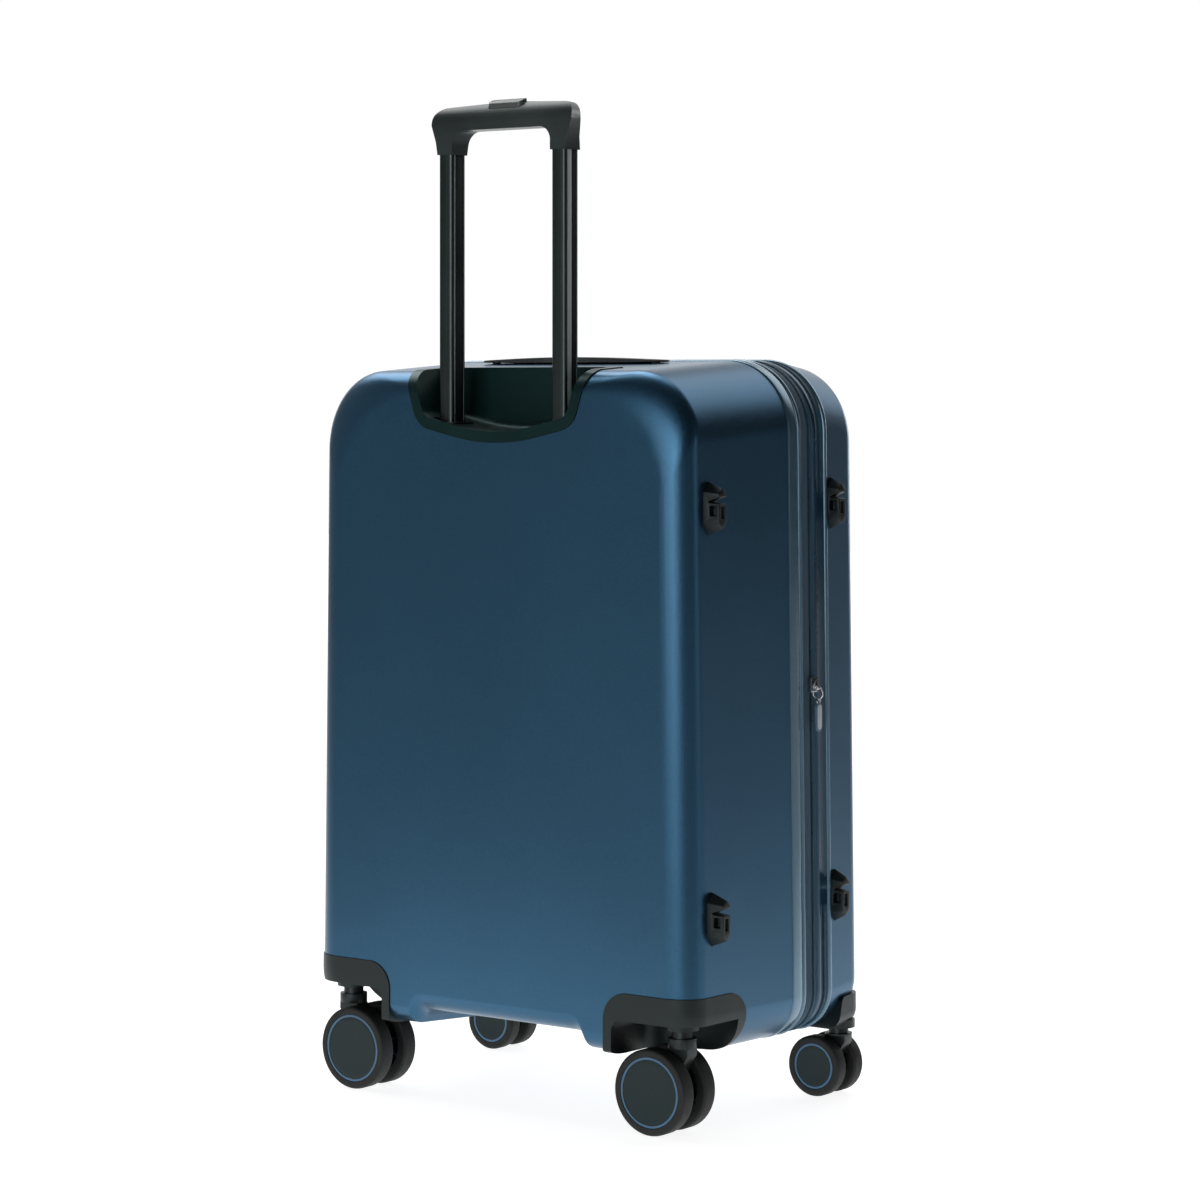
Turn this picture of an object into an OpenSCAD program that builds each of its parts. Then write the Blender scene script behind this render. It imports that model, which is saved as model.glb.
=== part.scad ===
// Hard shell suitcase on four double caster wheels, in millimetres.
// +Z is up, the trolley side (back) faces +Y, the lid faces -Y, the zip hinge is on -X, and
// the side handle and the lock are on +X. The origin is on the floor under the middle.

/* [Case] */
// Height of the top of the shells above the floor
case_top = 671; // [665:1:680]
// Height of the underside of the shells above the floor
case_bottom = 65; // [64:1:67]
// Width across the seam near the floor
case_w = 442; // [438:1:450]
// Width across the seam near the top
case_top_w = 430; // [424:1:438]
// Depth from the lid's face to the back face
case_d = 272; // [270:1:274]
// Depth of the back shell
back_depth = 158; // [156:1:160]
// Depth of the lid's shell
lid_depth = 61; // [59:1:61]
// Radius of the upper corners of the outline
corner_r = 65; // [55:1:72]
// Radius of the lower corners of the outline
corner_low_r = 40; // [36:1:50]
// Wall thickness of the shells
wall = 2.5; // [2:0.5:3.5]

/* [Trolley] */
// Distance from the middle to the axis of each tube
tube_x = 64.5; // [62:0.5:66]
// Distance of the tube axes from the middle, towards the back
tube_y = 116; // [115:1:117]
// Width of the thinnest tube
tube_w = 16; // [14:1:16]
// Depth of the thinnest tube
tube_d = 20; // [18:1:20]
// Wall thickness of the tubes
tube_wall = 1.5; // [1.2:0.1:1.5]
// Height of the joint between the tubes and the grip, with the upper stage out
grip_joint_z = 857; // [850:1:870]
// Height of the grip above that joint
grip_h = 46; // [44:1:50]

/* [Casters] */
// Radius of the rear wheels
rear_wheel_r = 37.5; // [37:0.5:38]
// Radius of the front wheels
front_wheel_r = 27.6; // [27:0.1:28]
// Distance from the middle to the rear stems
rear_stem_x = 188; // [186:1:190]
// Distance from the middle to the front stems
front_stem_x = 203; // [200:1:204]
// How far the rear axles trail behind the stems
rear_trail = 18.5; // [16:0.5:19]
// How far the front axles trail behind the stems
front_trail = 14; // [12:0.5:15]

/* [Side feet] */
// Height of the lower row of feet
foot_low_z = 188; // [180:1:200]
// Height of the upper row of feet
foot_high_z = 542; // [520:1:550]
// How far the feet stand out from the side
foot_out = 12; // [11:1:14]

/* [Hidden] */
half_d = case_d / 2;
back_seam_y = half_d - back_depth;
lid_seam_y = lid_depth - half_d;
mid_z = 373;
proud = 1;
big = 600;
gap = 0.3;

// number of steps in a corner of the outline and in the rounding of an edge
arc_n = 8;
edge_n = 6;
// draft of the sides, the top and the underside between the seam and the edge of the face
back_draft = [5.5, 9, 1];
lid_draft = [3, 5, 2];
// rounding into the face: its depth, and how far the sides, the top and the underside move in
edge_depth = 24;
edge_in = [29.5, 22, 18];
housing_edge_in = [29.5, 22, 5];
// growth of the upper and lower corner radii over that rounding
edge_r_gain = [30, 8];

// scoop in the underside of the back shell: half width at the seam, and at the edge of the face
scoop_half = [60, 100];
// height of the scoop at the edge of the face, and its profile as [inwards, share of height]
scoop_h = 13.5;
scoop_profile = [[0, 0], [3, 0.45], [8, 0.85], [16, 1]];

// the side planes lean inwards towards the top
side_slope = (case_w - case_top_w) / 2 / (case_top - case_bottom - corner_r - corner_low_r);
function side_x(z) = case_w / 2 - (z - case_bottom - corner_low_r) * side_slope;
function back_side_x(y, z) =
    side_x(z) - back_draft[0] * (y - back_seam_y) / (back_depth - edge_depth);
function lid_side_x(y, z) =
    side_x(z) - lid_draft[0] * (lid_seam_y - y) / (lid_depth - edge_depth);
bound_x = side_x(foot_low_z) + foot_out;

// zip band between the two shells: rim, expansion zip, frame band, main zip, lid rim
zip_w = 5.4;
band_w = 6;
rim_y = [back_seam_y - 20, back_seam_y];
expander_y = rim_y[0] - zip_w - gap / 2;
frame_band_y = [expander_y - gap / 2 - zip_w - band_w, expander_y - gap / 2 - zip_w];
main_y = frame_band_y[0] - zip_w - gap / 2;
lid_rim_y = [lid_seam_y, main_y - gap / 2 - zip_w];
hinge_z = [181, 552];
// how far the outside and inside of each band lie in from the outline
rim_in = [-0.8, 3.6];
zip_in = [0.8, 3.6];
gusset_in = [5.6, 6.8];
gusset_y = [frame_band_y[0] + 5, back_seam_y - 0.5];

// corners that the wheel housings take: inner end, front end, top
rear_block = [122, 56, 121];
rear_block_r = 24;
rear_pocket_r = 52;
rear_pocket_z = 97;
// inner corner of the arch under the housing, from the stem, and its radius
rear_arch = [-35, -20];
rear_arch_r = 22;
rear_collar_z = 91;
front_block = [150, 92, 94];
front_block_r = 8;
front_flare = 12;
front_low_r = 12;
front_collar_z = 62.7;
collar_r = 15;

// recess for the trolley grip
recess_corner = [70, 632];
recess_r = 24;
recess_arc_r = 222;
recess_arc_z = 819.3;
recess_top_x = 113;
recess_front_y = 85;
recess_band = 10;
recess_wall = 3;

// trolley tubes, one inside the other
tube_gap = 0.5;
upper_size = [tube_w, tube_d];
middle_size = upper_size + [2, 2] * (tube_gap + tube_wall);
outer_size = middle_size + [2, 2] * (tube_gap + tube_wall);
collar_size = outer_size + [4, 4];
tube_r = 3.5;
outer_z = [110, 607];
middle_z = [250, 613];
collar_z = [607, 615];
upper_z = [527, grip_joint_z];
base_h = 12;

// grip
grip_d = tube_d + 2;
grip_top_z = grip_joint_z + grip_h;
grip_inner_x = 56;
grip_leg_x = 73;
grip_top_x = 80;
// rounding of its rear top edge, across and down, and of its top corners
grip_round = [17, 15];
grip_corner_r = 11;
grip_under_z = grip_joint_z + 21;
button_size = [38, 12];
button_h = 10;
button_proud = 2.5;

// carry handles
handle_y = 17;
handle_w = 26;
handle_half = 104;
handle_post = 92;
post_r = 4;
post_hole_r = 5.2;
stop_r = 7;
stop_h = 3;
top_handle_z = case_top - 1.2;
top_handle_t = [3, 4.5];
side_handle_t = [5, 6];
mount_size = [24, 24, 6];
top_mount_z = case_top - 9;
side_mount_x = 208.5;

// lining cups: their seam and face
lining_in = 5;
lining_wall = 1.2;
back_lining_y = [-19, 85];
lid_lining_y = [-76.5, -134.5];
back_lining_draft = [5, 8, 10];
strap_w = 38;
strap_t = 1.2;
strap_lean = 33;
strap_end = [148, 232];
buckle_size = [64, 46];
buckle_t = 7;
pocket_size = [350, 330];
pocket_t = 1.6;
pocket_z = 290;

// feet on the hinge side: half width, half height of the flank, half height of the points
foot_half = [7, 14.5, 23.5];
foot_tip_half = [5.5, 13, 17.5];
foot_hole_in = 6;
back_foot_y = 104;
lid_foot_y = -82;
back_foot_out = 16;

// lock on the lid's side
lock_size = [35, 68];
lock_y = -94.5;
lock_x = [204, 223.4];
dial_x = 217.5;
dial_y = -96;
dial_z = 357;
dial_pitch = 8.5;
dial_r = 7.5;
dial_w = 7;
dial_pin_r = 1.5;
lock_button_r = 4;
lock_button_z = 395;
lock_button_x = [217.5, 225];

// zip sliders
slider_size = [3.5, 9, 13];
slider_z = 380;
pull_pin = [-224, slider_z - 3];
pull_pin_r = 1.2;
main_slider_z = [365, 381];
pull_plate_x = [224.2, 226];

// casters: [wheel radius, half width of the pair, width of a disc, hub radius]
rear_wheel = [rear_wheel_r, 24, 16, rear_wheel_r - 8];
front_wheel = [front_wheel_r, 21, 14, front_wheel_r - 8];
rear_stem_y = 110;
front_stem_y = -114;
rear_head_z = [75.6, 84];
front_head_z = [55.9, 57.4];
head_r = 12.5;
neck_r = 9;
stem_r = 5;
stem_in = 14;
axle_r = 3;
axle_boss_r = 8;
running = 0.05;
side_play = 0.8;
tyre_round = 3;

// ---- shared shapes ----

// points of a quarter circle
function quarter(x, z, r, from) =
    [for (i = [0:arc_n]) [x + r * cos(from + 90 * i / arc_n), z + r * sin(from + 90 * i / arc_n)]];

// one side of the scoop's profile, s = -1 on -X, with the given half width and height
function scoop_side(s, z, half, h) = [for (p = scoop_profile) [s * (half - p[0]), z + h * p[1]]];

// outline of the case seen from the back, with its sides, top and underside moved inwards
function outline(side_in, top_in, low_in, r_top, r_low, scoop = []) =
    let (z_top = case_top - top_in, z_low = case_bottom + low_in)
    let (w_low = side_x(z_low + r_low) - side_in, w_top = side_x(z_top - r_top) - side_in)
    concat(
        quarter(w_top - r_top, z_top - r_top, r_top, 0),
        quarter(r_top - w_top, z_top - r_top, r_top, 90),
        quarter(r_low - w_low, z_low + r_low, r_low, 180),
        scoop == [] ? [] : scoop_side(-1, z_low, scoop[0], scoop[1]),
        scoop == [] ? [] : reversed(scoop_side(1, z_low, scoop[0], scoop[1])),
        quarter(w_low - r_low, z_low + r_low, r_low, 270)
    );

// outline moved inwards by the same distance all round
function even_outline(d) = outline(d, d, d, corner_r - d, corner_low_r - d);

// surface of a shell from its seam to its face, as a list of [y, outline]; scoop is its height
function stations(seam_y, face_y, draft, inset, edge = edge_in, low_r = corner_low_r, scoop = 0) =
    let (s = sign(face_y - seam_y), edge_y = face_y - s * edge_depth)
    let (scoop_0 = scoop > 0 ? [scoop_half[0] + inset, 0.1] : [])
    let (scoop_1 = scoop > 0 ? [scoop_half[1] + inset, scoop] : [])
    concat(
        [[seam_y, outline(inset, inset, inset, corner_r - inset, low_r - inset, scoop_0)]],
        [for (i = [0:edge_n])
            let (a = 90 * i / edge_n, k = 1 - cos(a))
            [edge_y + s * (edge_depth - inset) * sin(a),
                outline(
                    draft[0] + edge[0] * k + inset,
                    draft[1] + edge[1] * k + inset,
                    draft[2] + edge[2] * k + inset,
                    corner_r + edge_r_gain[0] * k - inset,
                    low_r + edge_r_gain[1] * k - inset,
                    scoop_1
                )]]
    );

function ring_points(list) = [for (s = list) for (p = s[1]) [p[0], s[0], p[1]]];

// triangles between neighbouring rings of n points, the first ring starting at index at
function skin(n, rings, at) =
    [for (k = [0:rings - 2]) for (i = [0:n - 1])
        let (j = (i + 1) % n, a = at + k * n + i, b = at + k * n + j)
        each [[a, a + n, b], [b, a + n, b + n]]];

function reversed(list) = [for (i = [len(list) - 1:-1:0]) list[i]];
function turned(faces) = [for (f = faces) reversed(f)];

// closed solid through stations, for faces that run towards +Y (or -Y with flip)
module loft(list, flip) {
    n = len(list[0][1]);
    last = (len(list) - 1) * n;
    caps = [[for (i = [0:n - 1]) i], [for (i = [n - 1:-1:0]) last + i]];
    faces = concat(skin(n, len(list), 0), caps);
    polyhedron(ring_points(list), flip ? faces : turned(faces));
}

// shell that is open at its seam, as one closed surface
module cup(outer, inner, flip) {
    n = len(outer[0][1]);
    in0 = n * len(outer);
    last = in0 - n;
    rim = [for (i = [0:n - 1]) let (j = (i + 1) % n) each [[i, j, in0 + i], [j, in0 + j, in0 + i]]];
    caps = [[for (i = [n - 1:-1:0]) last + i], [for (i = [0:n - 1]) in0 + last + i]];
    faces = concat(skin(n, len(outer), 0), turned(skin(n, len(inner), in0)), rim, caps);
    polyhedron(concat(ring_points(outer), ring_points(inner)), flip ? faces : turned(faces));
}

// band that follows the outline between two depths
module band(y, in) {
    translate([0, y[1], 0]) rotate([90, 0, 0]) linear_extrude(y[1] - y[0])
        difference() {
            polygon(even_outline(in[0]));
            polygon(even_outline(in[1]));
        }
}

module rounded_rect(size, r) {
    square([size[0] - 2 * r, size[1]], center = true);
    square([size[0], size[1] - 2 * r], center = true);
    for (x = [-1, 1], y = [-1, 1])
        translate([x * (size[0] / 2 - r), y * (size[1] / 2 - r)]) circle(r, $fn = 32);
}

module both_sides() {
    for (s = [0, 1]) mirror([s, 0, 0]) children();
}

// 2D region beyond u0 and below top, rounded at that corner, wider by flare near the ground
module corner_profile(u0, top, r, flare) {
    flare_drop = 25;
    hull() {
        translate([u0 + r, 0]) square([big, top]);
        translate([u0 - flare, 0]) square([big, top - (flare > 0 ? flare_drop : r)]);
        translate([u0 + r, top - r]) circle(r, $fn = 48);
    }
}

// corner that a wheel housing takes, at +X and +Y
module corner_block(block, r, flare = 0) {
    intersection() {
        rotate([90, 0, 0]) linear_extrude(big, center = true)
            corner_profile(block[0], block[2], r, flare);
        rotate([90, 0, 90]) linear_extrude(big) corner_profile(block[1], block[2], r, flare);
    }
}

// ---- back shell and what is fixed to it ----

// outline of the recess seen from the back, open upwards
module recess_outline(inset) {
    hull() {
        intersection() {
            translate([0, recess_arc_z]) circle(recess_arc_r - inset, $fn = 360);
            translate([-recess_corner[0], 0]) square([2 * recess_corner[0], recess_corner[1]]);
        }
        for (s = [-1, 1]) {
            translate([s * recess_corner[0], recess_corner[1]]) circle(recess_r - inset, $fn = 48);
            translate([s * (recess_top_x - inset), case_top + 20]) circle(1, $fn = 16);
        }
    }
}

module recess_block(inset, y0) {
    translate([0, half_d + 10, 0]) rotate([90, 0, 0]) linear_extrude(half_d + 10 - y0)
        recess_outline(inset);
}

// places for the two posts of the top and of the side handle
module at_top_posts() {
    for (x = [-1, 1]) translate([x * handle_post, handle_y, 0]) children();
}

module at_side_posts() {
    for (z = [-1, 1]) translate([0, handle_y, mid_z + z * handle_post]) rotate([0, 90, 0]) children();
}

module back_shell() {
    color("steelblue") difference() {
        cup(
            stations(back_seam_y, half_d, back_draft, 0, scoop = scoop_h),
            stations(back_seam_y, half_d, back_draft, wall, scoop = scoop_h),
            false
        );
        recess_block(0, recess_front_y);
        both_sides() corner_block(rear_block, rear_block_r);
        for (z = [foot_low_z, foot_high_z])
            foot_base(back_side_x(back_foot_y, z), back_foot_y, z, 3);
        at_top_posts() translate([0, 0, case_top - 30]) cylinder(r = post_hole_r, h = 60, $fn = 32);
        at_side_posts() translate([0, 0, side_mount_x]) cylinder(r = post_hole_r, h = 60, $fn = 32);
    }
}

module back_rim() {
    color("cornflowerblue") band(rim_y, rim_in);
}

module expander_zip_back() {
    color("steelblue") band([expander_y + gap / 2, rim_y[0]], zip_in);
}

module back_lining() {
    color("dimgray") difference() {
        cup(
            stations(back_lining_y[0], back_lining_y[1], back_lining_draft, lining_in),
            stations(back_lining_y[0], back_lining_y[1], back_lining_draft, lining_in + lining_wall),
            false
        );
        both_sides() corner_block(rear_block + [-1, -1, 1], rear_block_r);
        at_top_posts() translate([0, 0, case_top - 20])
            cube([mount_size[0] + 4, mount_size[1] + 4, 60], center = true);
        at_side_posts() translate([0, 0, side_mount_x])
            cube([mount_size[0] + 4, mount_size[1] + 4, 60], center = true);
    }
}

lining_floor_y = back_lining_y[1] - lining_in - lining_wall;

// two straps that cross on the floor of the lining
module packing_straps() {
    color("black") intersection() {
        for (lean = [-strap_lean, strap_lean])
            translate([0, lining_floor_y - strap_t / 2, mid_z]) rotate([0, lean, 0])
                cube([strap_w, strap_t, big], center = true);
        translate([-strap_end[0], -big / 2, mid_z - strap_end[1]])
            cube([2 * strap_end[0], big, 2 * strap_end[1]]);
    }
}

module strap_buckle() {
    color("black") translate([0, lining_floor_y - strap_t, mid_z]) rotate([90, 0, 0]) difference() {
        linear_extrude(buckle_t) rounded_rect(buckle_size, 8);
        translate([0, 0, buckle_t - 2]) linear_extrude(3) rounded_rect([40, 8], 3);
    }
}

module at_tubes() {
    for (s = [-1, 1]) translate([s * tube_x, tube_y, 0]) children();
}

module tube(size, z) {
    translate([0, 0, z[0]]) linear_extrude(z[1] - z[0]) difference() {
        rounded_rect(size, tube_r);
        rounded_rect(size - [2, 2] * tube_wall, tube_r - tube_wall);
    }
}

module trolley_recess() {
    color("black") difference() {
        intersection() {
            back_solid(-proud);
            recess_block(0, recess_front_y);
        }
        recess_block(recess_band, recess_front_y + recess_wall);
        at_tubes() translate([0, 0, outer_z[0]]) linear_extrude(big) rounded_rect(outer_size, tube_r);
        at_tubes() translate([0, 0, collar_z[0]]) linear_extrude(big)
            rounded_rect(collar_size, tube_r);
    }
}

module back_solid(inset, edge = edge_in) {
    loft(stations(back_seam_y, half_d, back_draft, inset, edge), false);
}

module trolley_outer_tubes() {
    color("dimgray") at_tubes() tube(outer_size, outer_z);
}

module trolley_base() {
    color("black") translate([-tube_x - 20, tube_y - 16, outer_z[0] - base_h])
        cube([2 * tube_x + 40, 28, base_h]);
}

module trolley_collars() {
    color("black") at_tubes() translate([0, 0, collar_z[0]]) linear_extrude(collar_z[1] - collar_z[0])
        difference() {
            rounded_rect(collar_size, tube_r);
            rounded_rect(middle_size + [2, 2] * tube_gap, tube_r);
        }
}

// housing on the +X side: a corner block with a round pocket and a collar for the caster
module rear_housing() {
    color("black") difference() {
        intersection() {
            back_solid(-proud, housing_edge_in);
            corner_block(rear_block, rear_block_r);
        }
        translate([rear_stem_x, rear_stem_y, 0]) {
            difference() {
                union() {
                    cylinder(r = rear_pocket_r, h = rear_pocket_z, $fn = 64);
                    hull() for (x = [0, big], y = [0, big])
                        translate([rear_arch[0] + x, rear_arch[1] + y, 0])
                            cylinder(r = rear_arch_r, h = rear_pocket_z, $fn = 64);
                }
                translate([0, 0, rear_collar_z]) cylinder(r = collar_r, h = 20, $fn = 48);
            }
            cylinder(r = stem_r + running, h = rear_collar_z + stem_in + 2, $fn = 32);
        }
    }
}

module rear_housing_left() {
    mirror([1, 0, 0]) rear_housing();
}

module rear_housing_right() {
    rear_housing();
}

// ---- hook feet ----

module foot_hexagon(half) {
    polygon([
        [half[0], -half[1]], [half[0], half[1]], [0, half[2]],
        [-half[0], half[1]], [-half[0], -half[1]], [0, -half[2]]
    ]);
}

// part of a foot that passes through the wall, at side plane x, standing out by that much
module foot_base(x, y, z, out = 0.4) {
    translate([-x - out, y, z]) rotate([90, 0, 90])
        linear_extrude(wall + 1.5 + out) foot_hexagon(foot_half);
}

module foot_slice(x, y, z, half) {
    translate([x, y, z]) rotate([90, 0, 90]) linear_extrude(0.2) foot_hexagon(half);
}

module foot(x, y, z, out) {
    foot_base(x, y, z);
    difference() {
        hull() {
            foot_slice(-x - 0.6, y, z, foot_half);
            foot_slice(-x - out, y, z, foot_tip_half);
        }
        // hook notch across the outer face
        translate([-x - out, y + 20, z]) rotate([90, 0, 0]) linear_extrude(40)
            polygon([[-1, 10.5], [-1, 4.2], [out * 0.68, 5.4], [out * 0.68, 6.6]]);
        // blind square hole in the flank that faces the back
        translate([-x - out + 3.5, y, z - 6]) cube([foot_hole_in, 20, 8.6]);
        // slot in the outer face
        translate([-x - out - 1, y - 2.4, z - 9]) cube([3.5, 4.8, 11]);
    }
}

module back_side_feet() {
    color("black") for (z = [foot_low_z, foot_high_z])
        foot(back_side_x(back_foot_y, z), back_foot_y, z, back_foot_out);
}

module lid_side_feet() {
    color("black") for (z = [foot_low_z, foot_high_z])
        foot(lid_side_x(lid_foot_y, z), lid_foot_y, z, bound_x - lid_side_x(lid_foot_y, foot_low_z));
}

// ---- carry handles ----

module handle_mount() {
    difference() {
        cube(mount_size, center = true);
        cylinder(r = post_r + running, h = 20, center = true, $fn = 32);
    }
}

module top_handle_mounts() {
    color("black") at_top_posts() translate([0, 0, top_mount_z]) handle_mount();
}

module side_handle_mounts() {
    color("black") at_side_posts() translate([0, 0, side_mount_x]) handle_mount();
}

// low arch along u that stands on v = 0
module arch_outline(half, t) {
    n = 12;
    polygon(concat(
        [for (i = [0:n]) let (u = half * (1 - 2 * i / n)) [u, t[0] + (t[1] - t[0]) * cos(90 * u / half)]],
        [[-half, 0], [half, 0]]
    ));
}

// post with a stop at its foot, standing on z = 0
module handle_post_solid(h) {
    cylinder(r = post_r, h = h, $fn = 32);
    cylinder(r = stop_r, h = stop_h, $fn = 32);
}

module top_handle() {
    post_h = 30;
    color("dimgray") {
        translate([0, handle_y + handle_w / 2, top_handle_z]) rotate([90, 0, 0])
            linear_extrude(handle_w) arch_outline(handle_half, top_handle_t);
        at_top_posts() translate([0, 0, top_handle_z - post_h]) handle_post_solid(post_h);
    }
}

module side_handle() {
    post_h = 32;
    seat_x = back_side_x(handle_y - handle_w / 2, mid_z - handle_half) + 0.5;
    x0 = bound_x - side_handle_t[1];
    color("dimgray") {
        translate([x0, handle_y + handle_w / 2, mid_z]) rotate([0, 90, 0]) rotate([90, 0, 0])
            linear_extrude(handle_w) arch_outline(handle_half, side_handle_t);
        for (z = [-1, 1]) translate([seat_x, handle_y, mid_z + z * handle_post])
            translate([0, -handle_w / 2, -12]) cube([x0 - seat_x, handle_w, 24]);
        at_side_posts() translate([0, 0, x0 - post_h]) handle_post_solid(post_h);
    }
}

// ---- trolley ----

module trolley_middle_tubes() {
    color("slategray") at_tubes() tube(middle_size, middle_z);
}

module trolley_upper_tubes() {
    color("dimgray") at_tubes() tube(upper_size, upper_z);
}

// half of the grip's outline, from the top middle round the outside to the inner opening
module grip_outline() {
    r = 12;
    n = 6;
    c = [grip_top_x - grip_corner_r, grip_top_z - 3 - grip_corner_r];
    half = concat(
        [[0, grip_top_z]],
        [for (i = [0:n]) let (a = 90 - 90 * i / n) c + grip_corner_r * [cos(a), sin(a)]],
        [[grip_top_x, grip_top_z - 19], [grip_leg_x + 2, grip_joint_z + 12]],
        [[grip_leg_x, grip_joint_z], [grip_inner_x, grip_joint_z]],
        [for (i = [0:n]) let (a = 90 * i / n)
            [grip_inner_x - r + r * cos(a), grip_under_z - r + r * sin(a)]],
        [[0, grip_under_z]]
    );
    polygon(half);
}

// bar with the grip's outline seen from the side, rounded at the rear, its top raised by that much
module grip_side(raise = 0) {
    n = 8;
    h = grip_d / 2;
    translate([-big / 2, tube_y, 0]) rotate([90, 0, 90]) linear_extrude(big) polygon(concat(
        [[-h, grip_joint_z - 1], [h, grip_joint_z - 1]],
        [for (i = [0:n]) let (a = 90 * i / n)
            [h - grip_round[0] * (1 - cos(a)), grip_top_z - grip_round[1] * (1 - sin(a)) + raise]],
        [[-h, grip_top_z - 1 + raise]]
    ));
}

module trolley_grip() {
    color("black") difference() {
        intersection() {
            both_sides() translate([0, tube_y + grip_d, 0]) rotate([90, 0, 0])
                linear_extrude(2 * grip_d) grip_outline();
            grip_side();
        }
        translate([0, tube_y, grip_top_z - button_h]) linear_extrude(big)
            rounded_rect(button_size + [1, 1] * 2 * gap, 4);
    }
}

module grip_button() {
    travel_room = 3.3;
    color("dimgray") intersection() {
        translate([0, tube_y, grip_top_z - button_h + travel_room]) linear_extrude(button_h)
            rounded_rect(button_size, 4);
        grip_side(button_proud);
    }
}

// ---- zip band ----

module zip_gap() {
    translate([-big - 100, -big / 2, hinge_z[0]]) cube([big, big, hinge_z[1] - hinge_z[0]]);
}

module expander_zip_front() {
    color("steelblue") band([frame_band_y[1], expander_y - gap / 2], zip_in);
}

module frame_band() {
    color("steelblue") band(frame_band_y, [0.2, rim_in[1]]);
}

module expansion_gusset() {
    color("slategray") band(gusset_y, gusset_in);
}

module main_zip_back() {
    color("steelblue") difference() {
        band([main_y + gap / 2, frame_band_y[0]], zip_in);
        zip_gap();
    }
}

module main_zip_front() {
    color("steelblue") difference() {
        band([lid_rim_y[1], main_y - gap / 2], zip_in);
        zip_gap();
    }
}

module zip_hinge() {
    color("slategray") intersection() {
        band([lid_rim_y[1], frame_band_y[0]], zip_in);
        zip_gap();
    }
}

// slider body on the hinge side with two ears and the pin that carries the puller
module expander_slider() {
    x0 = side_x(slider_z) - zip_in[0] + gap;
    ear_y = 3.2;
    color("silver") translate([0, expander_y, 0]) {
        translate([-x0 - slider_size[0], -slider_size[1] / 2, slider_z - slider_size[2] / 2])
            cube(slider_size);
        for (s = [-1, 1]) translate([pull_pin[0] - 1.6, s * (ear_y + 0.6) - 0.6, pull_pin[1] - 2])
            cube([-x0 - slider_size[0] - pull_pin[0] + 2.1, 1.2, 4]);
        translate([pull_pin[0], ear_y + 1, pull_pin[1]]) rotate([90, 0, 0])
            cylinder(r = pull_pin_r, h = 2 * ear_y + 2, $fn = 24);
    }
}

module expander_puller() {
    eye_w = 5.6;
    color("slategray") translate([pull_pin[0], expander_y, pull_pin[1]]) {
        rotate([90, 0, 0]) difference() {
            union() {
                cylinder(r = 2.5, h = eye_w, center = true, $fn = 32);
                translate([0, -7.5, 0]) cube([1.6, 12, eye_w], center = true);
            }
            cylinder(r = pull_pin_r + running, h = 20, center = true, $fn = 24);
        }
        translate([-1, 0, -25.5]) rotate([90, 0, 90]) linear_extrude(2) rounded_rect([10, 26], 4.5);
    }
}

// slider with its puller lying over the lock
module main_slider(z) {
    x0 = side_x(mid_z) - zip_in[0] + gap;
    color("silver") translate([0, main_y, z]) {
        translate([x0, -slider_size[1] / 2, -slider_size[2] / 2]) cube(slider_size);
        translate([x0 + 1, -2, -2]) cube([pull_plate_x[1] - x0 - 1.5, 4, 4]);
        translate([pull_plate_x[0], -19, -3.5]) cube([pull_plate_x[1] - pull_plate_x[0], 22, 7]);
    }
}

module main_slider_upper() {
    main_slider(main_slider_z[1]);
}

module main_slider_lower() {
    main_slider(main_slider_z[0]);
}

// ---- lid ----

module lid_solid(inset, edge, low_r) {
    loft(stations(lid_seam_y, -half_d, lid_draft, inset, edge, low_r), true);
}

module lock_block(x0, x1, grow) {
    translate([x0, lock_y, mid_z]) rotate([90, 0, 90]) linear_extrude(x1 - x0)
        rounded_rect(lock_size + [2, 2] * grow, 6);
}

module lid_shell() {
    color("steelblue") difference() {
        cup(
            stations(lid_seam_y, -half_d, lid_draft, 0),
            stations(lid_seam_y, -half_d, lid_draft, wall),
            true
        );
        both_sides() mirror([0, 1, 0]) corner_block(front_block, front_block_r, front_flare);
        for (z = [foot_low_z, foot_high_z])
            foot_base(lid_side_x(lid_foot_y, z), lid_foot_y, z, 3);
        lock_block(lock_x[0], lock_x[1], 0);
    }
}

module lid_rim() {
    color("cornflowerblue") band(lid_rim_y, rim_in);
}

module lid_lining() {
    color("dimgray") difference() {
        cup(
            stations(lid_lining_y[0], lid_lining_y[1], lid_draft, lining_in),
            stations(lid_lining_y[0], lid_lining_y[1], lid_draft, lining_in + lining_wall),
            true
        );
        both_sides() mirror([0, 1, 0]) corner_block(front_block + [-1, -1, 1], front_block_r, front_flare);
        lock_block(lock_x[0] - 30, lock_x[1], 2);
    }
}

module lid_pocket() {
    y0 = lid_lining_y[1] + lining_in + lining_wall;
    color("black") translate([0, y0 + pocket_t, pocket_z]) rotate([90, 0, 0])
        linear_extrude(pocket_t) rounded_rect(pocket_size, 30);
}

module front_housing() {
    color("black") difference() {
        union() {
            intersection() {
                lid_solid(-proud, housing_edge_in, front_low_r);
                mirror([0, 1, 0]) corner_block(front_block, front_block_r, front_flare);
            }
            translate([front_stem_x, front_stem_y, front_collar_z])
                cylinder(r = collar_r, h = 10, $fn = 48);
        }
        translate([front_stem_x, front_stem_y, 0])
            cylinder(r = stem_r + running, h = front_collar_z + stem_in + 2, $fn = 32);
    }
}

module front_housing_left() {
    mirror([1, 0, 0]) front_housing();
}

module front_housing_right() {
    front_housing();
}

// ---- lock ----

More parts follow.
